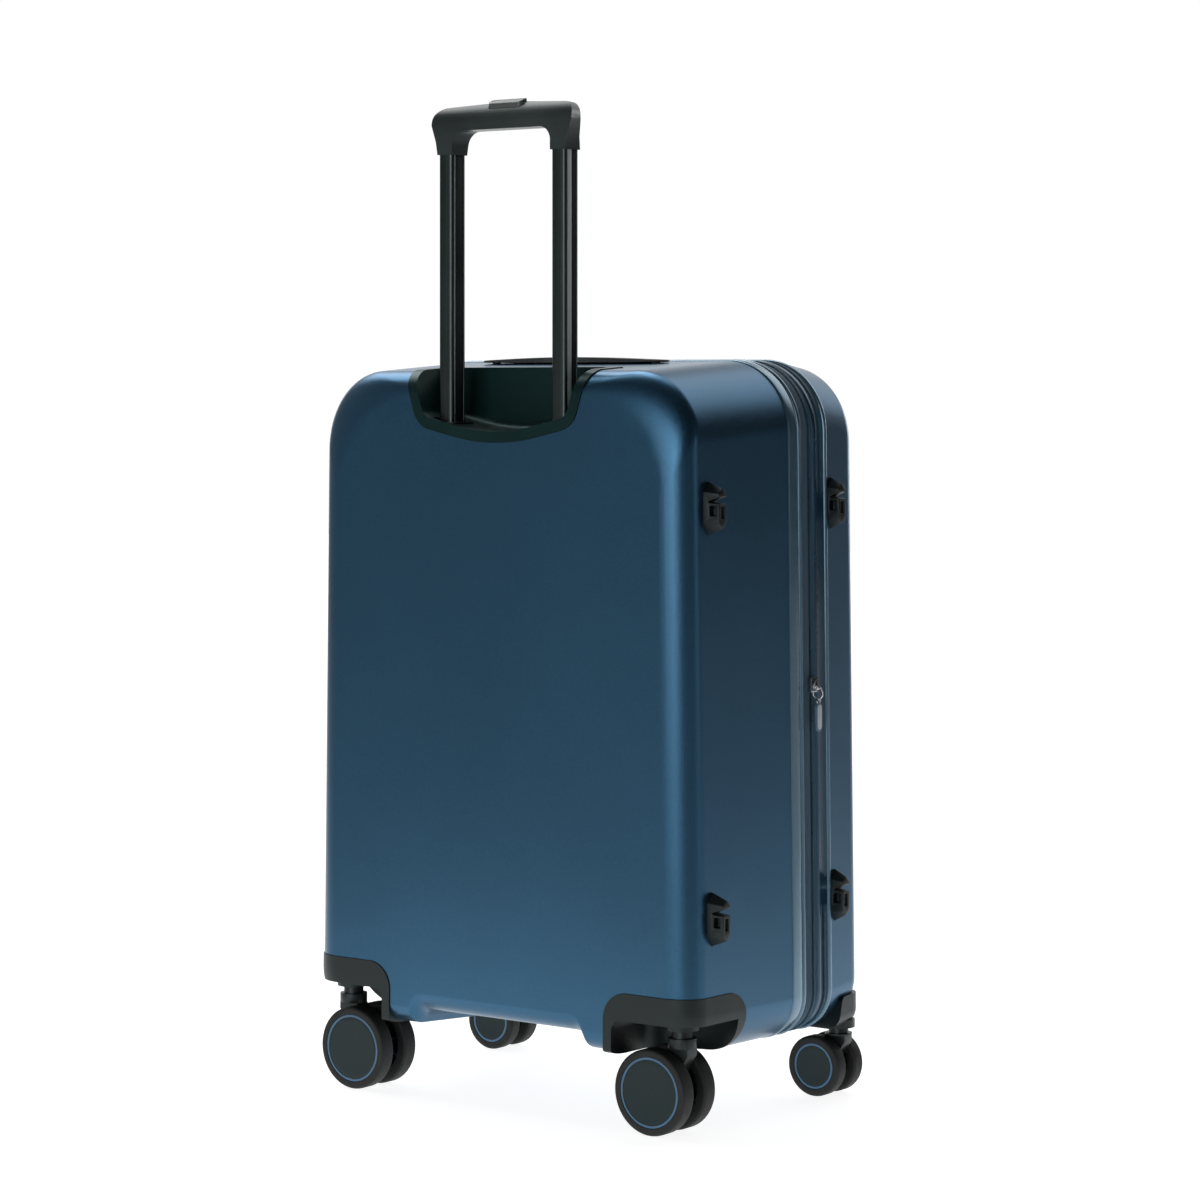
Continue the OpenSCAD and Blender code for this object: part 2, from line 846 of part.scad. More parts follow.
module lock_housing() {
    color("black") {
        difference() {
            lock_block(lock_x[0], lock_x[1], 0);
            translate([dial_x - 9, dial_y - dial_r - 1, dial_z - dial_w / 2 - 1])
                cube([30, 2 * dial_r + 2, 2 * dial_pitch + dial_w + 2]);
            translate([lock_button_x[0] - 2.5, dial_y, lock_button_z]) rotate([0, 90, 0])
                cylinder(r = lock_button_r + gap, h = 30, $fn = 32);
        }
        translate([dial_x, dial_y, dial_z - dial_w / 2 - 1])
            cylinder(r = dial_pin_r, h = 2 * dial_pitch + dial_w + 2, $fn = 24);
    }
}

module lock_button() {
    color("silver") translate([lock_button_x[0], dial_y, lock_button_z]) rotate([0, 90, 0])
        cylinder(r = lock_button_r, h = lock_button_x[1] - lock_button_x[0], $fn = 32);
}

module lock_dial(i) {
    color("darkgray") translate([dial_x, dial_y, dial_z + i * dial_pitch]) difference() {
        cylinder(r = dial_r, h = dial_w, center = true, $fn = 48);
        cylinder(r = dial_pin_r + running, h = 20, center = true, $fn = 24);
    }
}

module lock_dial_lower() {
    lock_dial(0);
}

module lock_dial_middle() {
    lock_dial(1);
}

module lock_dial_upper() {
    lock_dial(2);
}

// ---- casters, each with its stem on the Z axis and its wheels trailing towards -X ----

module fork(wheel, trail, head_z, collar_z) {
    arm_w = 2 * (wheel[1] - wheel[2] - side_play);
    arm_top = 2 * head_r - 4;
    color("black") difference() {
        union() {
            translate([0, 0, head_z[1]]) cylinder(r = stem_r, h = collar_z + stem_in - head_z[1], $fn = 32);
            translate([0, 0, head_z[1]]) cylinder(r = neck_r, h = collar_z - gap - head_z[1], $fn = 48);
            translate([0, 0, head_z[0]]) cylinder(r = head_r, h = head_z[1] - head_z[0], $fn = 48);
            rotate([90, 0, 0]) linear_extrude(arm_w, center = true) hull() {
                translate([-arm_top / 2, head_z[0] - 6]) square([arm_top, 6]);
                translate([-trail, wheel[0]]) circle(axle_boss_r, $fn = 32);
            }
        }
        translate([-trail, 0, wheel[0]]) rotate([90, 0, 0])
            cylinder(r = axle_r, h = 60, center = true, $fn = 32);
    }
}

module axle(wheel, trail) {
    color("silver") translate([-trail, 0, wheel[0]]) rotate([90, 0, 0])
        cylinder(r = axle_r, h = 2 * (wheel[1] - 3), center = true, $fn = 32);
}

module at_discs(wheel, trail) {
    for (s = [0, 1]) mirror([0, s, 0]) translate([-trail, -(wheel[1] - wheel[2]), wheel[0]])
        rotate([90, 0, 0]) children();
}

module hubs(wheel, trail) {
    color("dimgray") at_discs(wheel, trail) difference() {
        cylinder(r = wheel[3], h = wheel[2] - side_play, $fn = 64);
        translate([0, 0, -1]) cylinder(r = axle_r + running, h = wheel[2] - 1.6, $fn = 32);
    }
}

module tyres(wheel, trail) {
    r = wheel[0];
    w = wheel[2];
    e = tyre_round;
    color("black") at_discs(wheel, trail) rotate_extrude($fn = 96) {
        translate([wheel[3], 0]) square([r - wheel[3] - e, w]);
        translate([wheel[3], e]) square([r - wheel[3], w - 2 * e]);
        for (y = [e, w - e]) translate([r - e, y]) circle(e, $fn = 24);
    }
}

module at_rear() {
    translate([rear_stem_x, rear_stem_y, 0]) children();
}

module at_front() {
    translate([front_stem_x, front_stem_y, 0]) children();
}

module rear_right_fork() {
    at_rear() fork(rear_wheel, rear_trail, rear_head_z, rear_collar_z);
}

module rear_right_axle() {
    at_rear() axle(rear_wheel, rear_trail);
}

module rear_right_hubs() {
    at_rear() hubs(rear_wheel, rear_trail);
}

module rear_right_tyres() {
    at_rear() tyres(rear_wheel, rear_trail);
}

module rear_left_fork() {
    mirror([1, 0, 0]) rear_right_fork();
}

module rear_left_axle() {
    mirror([1, 0, 0]) rear_right_axle();
}

module rear_left_hubs() {
    mirror([1, 0, 0]) rear_right_hubs();
}

module rear_left_tyres() {
    mirror([1, 0, 0]) rear_right_tyres();
}

module front_right_fork() {
    at_front() fork(front_wheel, front_trail, front_head_z, front_collar_z);
}

module front_right_axle() {
    at_front() axle(front_wheel, front_trail);
}

module front_right_hubs() {
    at_front() hubs(front_wheel, front_trail);
}

module front_right_tyres() {
    at_front() tyres(front_wheel, front_trail);
}

module front_left_fork() {
    mirror([1, 0, 0]) front_right_fork();
}

module front_left_axle() {
    mirror([1, 0, 0]) front_right_axle();
}

module front_left_hubs() {
    mirror([1, 0, 0]) front_right_hubs();
}

module front_left_tyres() {
    mirror([1, 0, 0]) front_right_tyres();
}

back_shell();
back_rim();
back_lining();
packing_straps();
strap_buckle();
expander_zip_back();
trolley_recess();
trolley_outer_tubes();
trolley_base();
trolley_collars();
rear_housing_left();
rear_housing_right();
back_side_feet();
top_handle_mounts();
side_handle_mounts();
trolley_middle_tubes();
trolley_upper_tubes();
trolley_grip();
grip_button();
top_handle();
side_handle();
expander_slider();
expander_puller();
expander_zip_front();
frame_band();
expansion_gusset();
main_zip_back();
zip_hinge();
main_zip_front();
lid_shell();
lid_rim();
lid_lining();
lid_pocket();
front_housing_left();
front_housing_right();
lid_side_feet();
main_slider_upper();
main_slider_lower();
lock_housing();
lock_button();
lock_dial_lower();
lock_dial_middle();
lock_dial_upper();
rear_left_fork();
rear_left_axle();
rear_left_hubs();
rear_left_tyres();
rear_right_fork();
rear_right_axle();
rear_right_hubs();
rear_right_tyres();
front_left_fork();
front_left_axle();
front_left_hubs();
front_left_tyres();
front_right_fork();
front_right_axle();
front_right_hubs();
front_right_tyres();
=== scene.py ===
# Hard shell suitcase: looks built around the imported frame. Lengths in this file are in
# millimetres unless said otherwise, and points() turns them into metres.
import math

import bmesh
import bpy
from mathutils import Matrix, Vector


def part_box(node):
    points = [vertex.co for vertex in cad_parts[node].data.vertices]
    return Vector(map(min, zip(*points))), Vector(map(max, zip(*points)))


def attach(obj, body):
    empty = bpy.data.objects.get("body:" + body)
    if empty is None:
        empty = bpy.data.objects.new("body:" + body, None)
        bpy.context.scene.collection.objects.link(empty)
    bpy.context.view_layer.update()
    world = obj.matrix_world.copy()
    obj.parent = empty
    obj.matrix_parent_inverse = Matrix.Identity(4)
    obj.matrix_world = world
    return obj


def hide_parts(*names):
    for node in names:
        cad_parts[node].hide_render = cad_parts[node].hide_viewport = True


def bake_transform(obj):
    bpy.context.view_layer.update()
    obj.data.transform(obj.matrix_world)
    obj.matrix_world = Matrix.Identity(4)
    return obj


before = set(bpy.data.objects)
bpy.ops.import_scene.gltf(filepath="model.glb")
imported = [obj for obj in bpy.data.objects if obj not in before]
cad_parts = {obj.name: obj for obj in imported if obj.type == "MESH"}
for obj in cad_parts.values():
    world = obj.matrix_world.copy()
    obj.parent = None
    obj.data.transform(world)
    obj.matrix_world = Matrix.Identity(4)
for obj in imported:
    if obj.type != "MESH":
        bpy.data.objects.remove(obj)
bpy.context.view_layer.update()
scene = bpy.context.scene
scene.view_settings.view_transform = "Standard"

# ---- camera, level, at the photograph's angle ----
CAMERA_PLACE_M = (-1.939, 2.552, 0.646)
CAMERA_TURN_DEG = -143
LENS, SENSOR, LENS_SHIFT = 104.16, 36, -0.1767

cam_data = bpy.data.cameras.new("camera")
cam_data.lens = LENS
cam_data.sensor_width = SENSOR
cam_data.shift_y = LENS_SHIFT
cam_data.clip_end = 60
camera = bpy.data.objects.new("camera", cam_data)
camera.location = CAMERA_PLACE_M
camera.rotation_euler = (math.radians(90), 0, math.radians(CAMERA_TURN_DEG))
scene.collection.objects.link(camera)
scene.camera = camera

# ---- sizes shared with the CAD frame ----
# shells: top and bottom, the two seams, both faces at plus and minus FACE in Y
TOP, LOW = 671, 65
BACK_SEAM, LID_SEAM, FACE = -22, -75, 136
# half width low down, how much less it is high up, corner radii high and low, wall
SIDE_HALF, SIDE_TAPER, CORNER, CORNER_LOW, WALL = 221, 6, 65, 40, 2.5
# draft from seam to face at the sides, top and bottom
BACK_DRAFT, LID_DRAFT = (5.5, 9, 1), (3, 5, 2)
BACK, LID = (BACK_SEAM, FACE, BACK_DRAFT), (LID_SEAM, -FACE, LID_DRAFT)
# rounding to a face: depth, inset at sides, top and bottom (less for housings), gain of the corners
EDGE_DEPTH, EDGE_IN, HOUSING_EDGE_IN, EDGE_GAIN = 24, (29.5, 22, 18), (29.5, 22, 5), (30, 8)
# raised middle of the bottom: half width at seam and face, height, outline of its slope
SCOOP_HALF, SCOOP_H = (60, 100), 13.5
SCOOP = [(0, 0), (0.8, 0.1), (3, 0.42), (6, 0.72), (9.5, 0.9), (13, 0.98), (18, 1)]
# zips: centre lines in Y; height range of the hinge strip, where the main zip ends
EXPANDER_Y, MAIN_Y, HINGE_Z = -47.55, -64.65, (181, 552)
TUBE_X, TUBE_Y = 64.5, 116
# recess for the grip: wide arc at its bottom, corner arcs, where one passes into the next
RECESS_ARC_Z, RECESS_ARC_R = 819.3, 222
RECESS_CORNER, RECESS_CORNER_R = (70, 632), 24
RECESS_JOIN_DEG, RECESS_FLANK_DEG = -77.5, -17.8
RECESS_TOP_X, RECESS_Y = 114, (85, 160)
# hook feet on the closed side, and their hexagonal seats
FEET_Z, BACK_FEET_Y, LID_FEET_Y = (188, 542), 104, -82
FOOT_HALF = (7, 14.5, 23.5)
# height of the middle, where the side handle, the lock and the straps have theirs
MIDDLE_Z = 373
# handles: Y of both, posts from the middle, half length of the top one, radius of a post's hole
HANDLE_Y, POST_AT, HANDLE_HALF, POST_HOLE_R = 17, 92, 104, 5.2
LOCK_Y, DIAL_AXIS = -94.5, (217.5, -96)
GRIP_TOP, GRIP_FOOT, GRIP_HALF_DEPTH, GRIP_NARROWING = 903, 857, 11, 0.082
# corners that the wheel housings take: where they begin in X and Y, top, then the radius
REAR_BLOCK, REAR_R = (122, 56, 121), 24
FRONT_BLOCK, FRONT_R = (150, 92, 94), 8
# the front ones widen: by how much, how far below their top, end of the arc above that
FRONT_FLARE, FLARE_DROP, FLARE_DEG = 5, 25, 148.2
REAR_STEM, FRONT_STEM, STEM_BORE_R, STEM_COLLAR_R = (188, 110), (203, -114), 5.05, 15
# hollows of the rear ones: radius of the round one, size and middle of the rounded rectangle
SWIVEL_R, OPENING, OPENING_AT = 52, (169, 192), (215.5, 164)
# a caster's wheels: axle x and y, radius, half of the pair's width, width of a wheel, hub radius
REAR_WHEEL, FRONT_WHEEL = (169.5, 110, 37.5, 24, 16, 29.5), (189, -114, 27.6, 21, 14, 19.6)
# steps of a corner arc and of the edge rounding, a length past everything, distance to weld at
ARC, EDGE, FAR, WELD_M = 20, 14, 320, 2e-5


def side_x(z):
    """Half width of the case at height z, which narrows between the corner arcs."""
    low, high = LOW + CORNER_LOW, TOP - CORNER
    return SIDE_HALF - (z - low) * SIDE_TAPER / (high - low)


def arc_2d(x, z, r, start, end, n):
    """Part of a circle in n steps, angles in degrees."""
    turns = [math.radians(start + (end - start) * i / n) for i in range(n + 1)]
    return [(x + r * math.cos(a), z + r * math.sin(a)) for a in turns]


def quarter(x, z, r, start, n=ARC):
    return arc_2d(x, z, r, start, start + 90, n)


def outline(side, top, low, r_top, r_low, scoop=None):
    """Section of the case seen from behind, moved in by side, top and low."""
    z_top, z_low = TOP - top, LOW + low
    w_low, w_top = side_x(z_low + r_low) - side, side_x(z_top - r_top) - side
    line = quarter(w_top - r_top, z_top - r_top, r_top, 0)
    line += quarter(r_top - w_top, z_top - r_top, r_top, 90)
    line += quarter(r_low - w_low, z_low + r_low, r_low, 180)
    if scoop:
        half, h = scoop
        line += [(p - half, z_low + q * h) for p, q in SCOOP]
        line += [(half - p, z_low + q * h) for p, q in reversed(SCOOP)]
    return line + quarter(w_low - r_low, z_low + r_low, r_low, 270)


def even_outline(d):
    return outline(d, d, d, CORNER - d, CORNER_LOW - d)


def stations(seam, face, draft, inset, edge=EDGE_IN, low_r=CORNER_LOW, scoop=0):
    """Sections of a half from its seam to its face, all moved in by inset."""
    s = 1 if face > seam else -1
    edge_y = face - s * EDGE_DEPTH
    first = (SCOOP_HALF[0] + inset, 0.1) if scoop else None
    rest = (SCOOP_HALF[1] + inset, scoop) if scoop else None
    rings = [(seam, outline(inset, inset, inset, CORNER - inset, low_r - inset, first))]
    for i in range(EDGE + 1):
        a = math.radians(90 * i / EDGE)
        k = 1 - math.cos(a)
        rings.append((
            edge_y + s * (EDGE_DEPTH - inset) * math.sin(a),
            outline(draft[0] + edge[0] * k + inset, draft[1] + edge[1] * k + inset,
                    draft[2] + edge[2] * k + inset, CORNER + EDGE_GAIN[0] * k - inset,
                    low_r + EDGE_GAIN[1] * k - inset, rest)))
    return rings


# ---- mesh helpers ----
def points(list_mm):
    return [(x * 0.001, y * 0.001, z * 0.001) for x, y, z in list_mm]


def add(name, list_mm, faces, material, sharp=40):
    """New piece from points in millimetres; edges past sharp degrees stay sharp."""
    mesh = bpy.data.meshes.new(name)
    mesh.from_pydata(points(list_mm), [], faces)
    return place(name, mesh, material, sharp)


def place(name, mesh, material, sharp=40):
    """Mesh as an object of the scene, its faces outward and smooth."""
    bm = bmesh.new()
    bm.from_mesh(mesh)
    bmesh.ops.recalc_face_normals(bm, faces=bm.faces)
    bm.to_mesh(mesh)
    bm.free()
    mesh.validate()
    for p in mesh.polygons:
        p.use_smooth = True
    mesh.set_sharp_from_angle(angle=math.radians(sharp))
    obj = bpy.data.objects.new(name, mesh)
    scene.collection.objects.link(obj)
    if material:
        mesh.materials.append(material)
    return obj


def ring_points(rings):
    return [(p[0], y, p[1]) for y, line in rings for p in line]


def skin(n, rings, at=0):
    """Faces between rings of n points, the first point being number at."""
    out = []
    for k in range(rings - 1):
        for i in range(n):
            a, b = at + k * n + i, at + k * n + (i + 1) % n
            out.append((a, b, b + n, a + n))
    return out


def grid(rows, n):
    """Faces of an open sheet of rows with n points each."""
    return [(i * n + k, i * n + k + 1, (i + 1) * n + k + 1, (i + 1) * n + k)
            for i in range(rows - 1) for k in range(n - 1)]


def loft(name, rings, material=None):
    """Solid through rings of (y, outline)."""
    n, last = len(rings[0][1]), (len(rings) - 1) * len(rings[0][1])
    caps = [tuple(range(n)), tuple(last + i for i in reversed(range(n)))]
    return add(name, ring_points(rings), skin(n, len(rings)) + caps, material)


def cup(name, outer, inner, material):
    """Hollow half: outer and inner rings, joined at the seam and closed at the face."""
    n, at = len(outer[0][1]), len(outer) * len(outer[0][1])
    rim = [(i, (i + 1) % n, at + (i + 1) % n, at + i) for i in range(n)]
    caps = [tuple(at - n + i for i in range(n)),
            tuple(at + (len(inner) - 1) * n + i for i in reversed(range(n)))]
    faces = skin(n, len(outer)) + skin(n, len(inner), at) + rim + caps
    return add(name, ring_points(outer) + ring_points(inner), faces, material)


def prism(name, outline_2d, low, high, axis="y", material=None):
    """Extrudes an outline. axis y: points are (x, z); axis x: (y, z); axis z: (x, y)."""
    turn = {"y": lambda u, v, w: (u, w, v), "x": lambda u, v, w: (w, u, v),
            "z": lambda u, v, w: (u, v, w)}[axis]
    n = len(outline_2d)
    pts = [turn(u, v, w) for w in (low, high) for u, v in outline_2d]
    faces = [tuple(range(n)), tuple(n + i for i in reversed(range(n)))]
    faces += [(i, (i + 1) % n, n + (i + 1) % n, n + i) for i in range(n)]
    return add(name, pts, faces, material, 35)


def box(name, low, high, material=None):
    (a, b, c), (d, e, f) = low, high
    return prism(name, [(a, b), (d, b), (d, e), (a, e)], c, f, "z", material)


def circle_2d(x, y, r, n=64):
    return [(x + r * math.cos(2 * math.pi * i / n), y + r * math.sin(2 * math.pi * i / n))
            for i in range(n)]


def rounded_2d(w, d, r, n=6, x=0, y=0):
    """Rectangle with rounded corners, each in n steps."""
    out = []
    for k, (sx, sy) in enumerate(((1, 1), (-1, 1), (-1, -1), (1, -1))):
        out += quarter(x + sx * (w / 2 - r), y + sy * (d / 2 - r), r, 90 * k, n)
    return out


def combine(obj, other, kind="DIFFERENCE"):
    """Boolean of obj with other, which is used up."""
    mod = obj.modifiers.new("cut", "BOOLEAN")
    mod.operation, mod.object, mod.solver = kind, other, "EXACT"
    settle(obj)
    bpy.data.objects.remove(other)
    return obj


def settle(obj, sharp=None):
    """Applies obj's modifiers."""
    graph = bpy.context.evaluated_depsgraph_get()
    graph.update()
    mesh = bpy.data.meshes.new_from_object(obj.evaluated_get(graph))
    obj.modifiers.clear()
    obj.data = mesh
    if sharp is not None:
        for p in mesh.polygons:
            p.use_smooth = True
        mesh.set_sharp_from_angle(angle=math.radians(sharp))
    return obj


def soften(obj, width, segments=3, angle=32):
    """Welds, merges flat faces and rounds the sharp edges."""
    bm = bmesh.new()
    bm.from_mesh(obj.data)
    bmesh.ops.remove_doubles(bm, verts=bm.verts, dist=WELD_M)
    bmesh.ops.dissolve_limit(bm, angle_limit=math.radians(0.6), verts=bm.verts, edges=bm.edges)
    bm.to_mesh(obj.data)
    bm.free()
    mod = obj.modifiers.new("round", "BEVEL")
    mod.width, mod.segments = width * 0.001, segments
    mod.limit_method, mod.angle_limit = "ANGLE", math.radians(angle)
    mod.harden_normals = False
    mod.miter_outer = "MITER_ARC"
    settle(obj, 42)
    return obj


def from_cad(node, material, body, width, segments=3, angle=32):
    """A piece with the CAD node's shape and rounded edges, which stands for it on a body."""
    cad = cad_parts[node]
    bm = bmesh.new()
    bm.from_mesh(cad.data)
    bmesh.ops.remove_doubles(bm, verts=bm.verts, dist=WELD_M)
    clean = bpy.data.meshes.new(node + "_clean")
    clean.from_pydata([v.co[:] for v in bm.verts], [],
                      [[v.index for v in f.verts] for f in bm.faces])
    bm.free()
    obj = place(node + "_look", clean, material)
    soften(obj, width, segments, angle)
    stands_for(obj, body, node)


def stands_for(obj, body, *nodes, slot=None):
    """Makes obj ride on a body, in the place of the CAD nodes given."""
    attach(obj, body)
    if nodes:
        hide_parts(*nodes)
    return obj


def join(name, objs):
    """Joins objects into the first one, and names it."""
    first = objs[0]
    with bpy.context.temp_override(active_object=first, object=first,
                                   selected_editable_objects=objs, selected_objects=objs):
        bpy.ops.object.join()
    first.name = first.data.name = name
    return first


# ---- procedural materials ----
RANGE = ("From Min", "From Max", "To Min", "To Max")


class Shader:
    """A material under construction: a Principled shader and the nodes that feed it."""

    def __init__(self, name):
        self.mat = bpy.data.materials.new(name)
        self.mat.use_nodes = True
        self.tree = self.mat.node_tree
        self.main = self.tree.nodes["Principled BSDF"]
        self.coord = self.node("ShaderNodeTexCoord").outputs["Object"]

    def node(self, kind, **settings):
        n = self.tree.nodes.new(kind)
        for k, v in settings.items():
            setattr(n, k, v)
        return n

    def link(self, a, b):
        self.tree.links.new(a, b)

    def scaled(self, scale):
        m = self.node("ShaderNodeMapping")
        m.inputs["Scale"].default_value = scale
        self.link(self.coord, m.inputs["Vector"])
        return m.outputs["Vector"]

    def noise(self, scale, detail=2, rough=0.5, at=None):
        n = self.node("ShaderNodeTexNoise")
        n.inputs["Scale"].default_value = scale
        n.inputs["Detail"].default_value = detail
        n.inputs["Roughness"].default_value = rough
        self.link(at or self.coord, n.inputs["Vector"])
        return n.outputs["Fac"]

    def wave(self, scale, at, direction="X"):
        n = self.node("ShaderNodeTexWave", bands_direction=direction)
        n.inputs["Scale"].default_value = scale
        n.inputs["Detail Scale"].default_value = 1
        self.link(at, n.inputs["Vector"])
        return n.outputs["Fac"]

    def math(self, how, a, b):
        n = self.node("ShaderNodeMath", operation=how)
        for k, v in enumerate((a, b)):
            if isinstance(v, (int, float)):
                n.inputs[k].default_value = v
            else:
                self.link(v, n.inputs[k])
        return n.outputs[0]

    def span(self, value, low, high, to_low, to_high):
        """Maps low to high onto to_low to to_high, and holds beyond them."""
        n = self.node("ShaderNodeMapRange")
        for k, v in zip(RANGE, (low, high, to_low, to_high)):
            n.inputs[k].default_value = v
        self.link(value, n.inputs["Value"])
        return n.outputs["Result"]

    def colour(self, value, *stops):
        """Colour ramp; each stop is (position, rgb)."""
        n = self.node("ShaderNodeValToRGB")
        ramp = n.color_ramp
        while len(ramp.elements) < len(stops):
            ramp.elements.new(0.5)
        for e, (at, rgb) in zip(ramp.elements, stops):
            e.position, e.color = at, (*rgb, 1)
        self.link(value, n.inputs["Fac"])
        return n.outputs["Color"]

    def tones(self, value, base, dark, light, low=0.3, high=0.7):
        """Base colour, from dark times base where value is low to light times base where it is high."""
        stops = (low, shade(base, dark)), (high, shade(base, light))
        self.link(self.colour(value, *stops), self.main.inputs["Base Color"])

    def bumps(self, *layers):
        """Each layer is (height, strength, distance in metres)."""
        normal = None
        for height, strength, distance in layers:
            n = self.node("ShaderNodeBump")
            n.inputs["Strength"].default_value = strength
            n.inputs["Distance"].default_value = distance
            self.link(height, n.inputs["Height"])
            if normal:
                self.link(normal, n.inputs["Normal"])
            normal = n.outputs["Normal"]
        self.link(normal, self.main.inputs["Normal"])

    def set(self, **values):
        """Sets shader inputs by name, to a number, a colour or another node's output."""
        for k, v in values.items():
            name = k.replace("_", " ")
            if isinstance(v, (int, float)):
                self.main.inputs[name].default_value = v
            elif isinstance(v, tuple):
                self.main.inputs[name].default_value = (*v, 1)
            else:
                self.link(v, self.main.inputs[name])
        return self


def shade(c, k):
    return tuple(x * k for x in c)


SHELL_BLUE = (0.039, 0.122, 0.214)
BLACK = (0.0060, 0.0082, 0.0085)


def make_shell():
    s = Shader("shell_blue")
    fine, mid = s.noise(1500, 1), s.noise(620, 2, 0.6)
    soft = s.noise(5, 3)
    tone = s.math("ADD", s.math("MULTIPLY", soft, 0.5), s.math("MULTIPLY", mid, 0.5))
    s.tones(tone, SHELL_BLUE, 0.88, 1.12)
    s.set(Roughness=s.span(mid, 0.3, 0.7, 0.28, 0.38), Metallic=0.9)
    s.bumps((mid, 0.42, 0.00020), (fine, 0.3, 0.00012))
    return s.set(Specular_IOR_Level=0.35, Coat_Weight=0.2, Coat_Roughness=0.25).mat


def make_rim(name, base, rough):
    s = Shader(name)
    slow, fine = s.noise(9, 2), s.noise(900, 2)
    s.tones(slow, base, 0.9, 1.1, 0.35, 0.65)
    s.set(Roughness=s.span(s.noise(40, 2), 0.3, 0.7, rough - 0.05, rough + 0.06))
    s.bumps((slow, 0.25, 0.003), (fine, 0.12, 0.0001))
    return s.set(Specular_IOR_Level=0.5, Coat_Weight=0.6, Coat_Roughness=0.1, Metallic=0.6).mat


def make_black(name, base=BLACK, rough=0.42, grain=0.35, tint=(0.85, 1.0, 1.0)):
    s = Shader(name)
    spark, slow = s.noise(1300, 2, 0.6), s.noise(14, 3)
    s.tones(slow, base, 0.8, 1.25)
    s.set(Roughness=s.span(slow, 0.3, 0.7, rough - 0.06, rough + 0.07))
    s.bumps((spark, grain, 0.00018))
    return s.set(Specular_IOR_Level=0.45, Specular_Tint=tint).mat


def make_rubber(name, base, rough=0.7):
    s = Shader(name)
    fine, slow = s.noise(1100, 3), s.noise(30, 3)
    dust = s.noise(220, 4, 0.7)
    tone = s.math("ADD", s.math("MULTIPLY", slow, 0.7), s.math("MULTIPLY", dust, 0.3))
    s.tones(tone, base, 0.85, 1.3, 0.3, 0.75)
    s.set(Roughness=s.span(dust, 0.3, 0.7, rough - 0.08, rough + 0.08))
    s.bumps((fine, 0.3, 0.0002))
    return s.set(Specular_IOR_Level=0.35).mat


def make_metal(name, base, rough, streak=(900, 900, 3), metallic=1.0):
    s = Shader(name)
    drawn = s.noise(1, 3, 0.6, s.scaled(streak))
    slow = s.noise(18, 2)
    s.tones(slow, base, 0.9, 1.08)
    s.set(Metallic=metallic, Roughness=s.span(drawn, 0.3, 0.7, rough - 0.06, rough + 0.09))
    s.bumps((drawn, 0.12, 0.00005))
    return s.mat


def make_weave(name, base, pitch, rough=0.85, twill=False, sheen=0.3, attribute=None):
    """Plain or twill weave. Threads lie 0.63 of pitch apart, 1.26 of it in a twill, in metres."""
    s = Shader(name)
    if attribute:
        uv = s.node("ShaderNodeUVMap", uv_map=attribute)
        at = uv.outputs["UV"]
    else:
        split = s.node("ShaderNodeSeparateXYZ")
        s.link(s.coord, split.inputs[0])
        both = s.node("ShaderNodeCombineXYZ")
        s.link(s.math("ADD", split.outputs["X"], split.outputs["Y"]), both.inputs["X"])
        s.link(s.math("SUBTRACT", split.outputs["Z"], s.math("MULTIPLY", split.outputs["Y"], 0.5)),
               both.inputs["Y"])
        at = both.outputs[0]
    k = 0.5 / pitch
    if twill:
        weave = s.wave(k, at, "DIAGONAL")
    else:
        weave = s.math("MULTIPLY", s.wave(k, at, "X"), s.wave(k, at, "Y"))
    slow = s.noise(25, 3)
    tone = s.math("ADD", s.math("MULTIPLY", weave, 0.6), s.math("MULTIPLY", slow, 0.4))
    s.tones(tone, base, 0.7, 1.25, 0.1, 0.8)
    s.bumps((slow, 0.2, 0.002), (weave, 0.6, 0.0003))
    return s.set(Roughness=rough, Sheen_Weight=sheen, Sheen_Roughness=0.5).mat


SHELL = make_shell()
RIM = make_rim("rim_blue", (0.105, 0.200, 0.280), 0.2)
BAND = make_rim("coated_fabric_blue", (0.016, 0.062, 0.115), 0.3)
BLACK_MAT = make_black("plastic_black")
GRIP_MAT = make_black("grip_black", (0.034, 0.045, 0.044), 0.36, 0.15, (0.9, 1.0, 1.0))
BUTTON_MAT = make_black("button_grey", (0.115, 0.122, 0.118), 0.3, 0.15)
RECESS_MAT = make_black("recess_black", (0.0025, 0.0125, 0.0128), 0.38, 0.2, (0.35, 0.8, 0.8))
TUBE_MAT = make_metal("tube_anodised", (0.062, 0.078, 0.077), 0.32)
# painted highlight: a light, partly metallic strip on the tubes that stands for the reflection along the
# metal
TUBE_HIGHLIGHT_MAT = make_metal("tube_painted_highlight", (0.66, 0.72, 0.71), 0.32, metallic=0.25)
INSERT_MAT = make_black("tube_insert_black", (0.010, 0.012, 0.012), 0.45, 0.15)
HANDLE_MAT = make_rubber("handle_rubber", (0.080, 0.086, 0.085), 0.5)
TAPE = make_weave("zip_tape_blue", (0.022, 0.068, 0.115), 0.0011, 0.75, True, 0.08, "along")
COIL = make_black("zip_coil_blue", (0.030, 0.088, 0.145), 0.3, 0.1)
GUSSET = make_weave("gusset_blue", (0.016, 0.045, 0.085), 0.0012, 0.8, False, 0.3, "along")
LINING = make_weave("lining_grey", (0.085, 0.09, 0.10), 0.0014, 0.8, False, 0.4)
MESH = make_weave("mesh_black", (0.012, 0.012, 0.014), 0.0022, 0.8, True, 0.3)
STRAP = make_weave("strap_black", (0.014, 0.014, 0.016), 0.0018, 0.75, True, 0.3)
SILVER = make_metal("slider_metal", (0.62, 0.63, 0.65), 0.16, (300, 300, 300))
STEEL = make_metal("brushed_steel", (0.5, 0.5, 0.52), 0.3, (8, 900, 8))
TAG = make_rubber("puller_blue", (0.11, 0.17, 0.25), 0.45)
TAG_FACE = make_rubber("puller_face", (0.50, 0.54, 0.58), 0.4)
DIAL = make_black("dial_grey", (0.11, 0.115, 0.12), 0.4, 0.1)
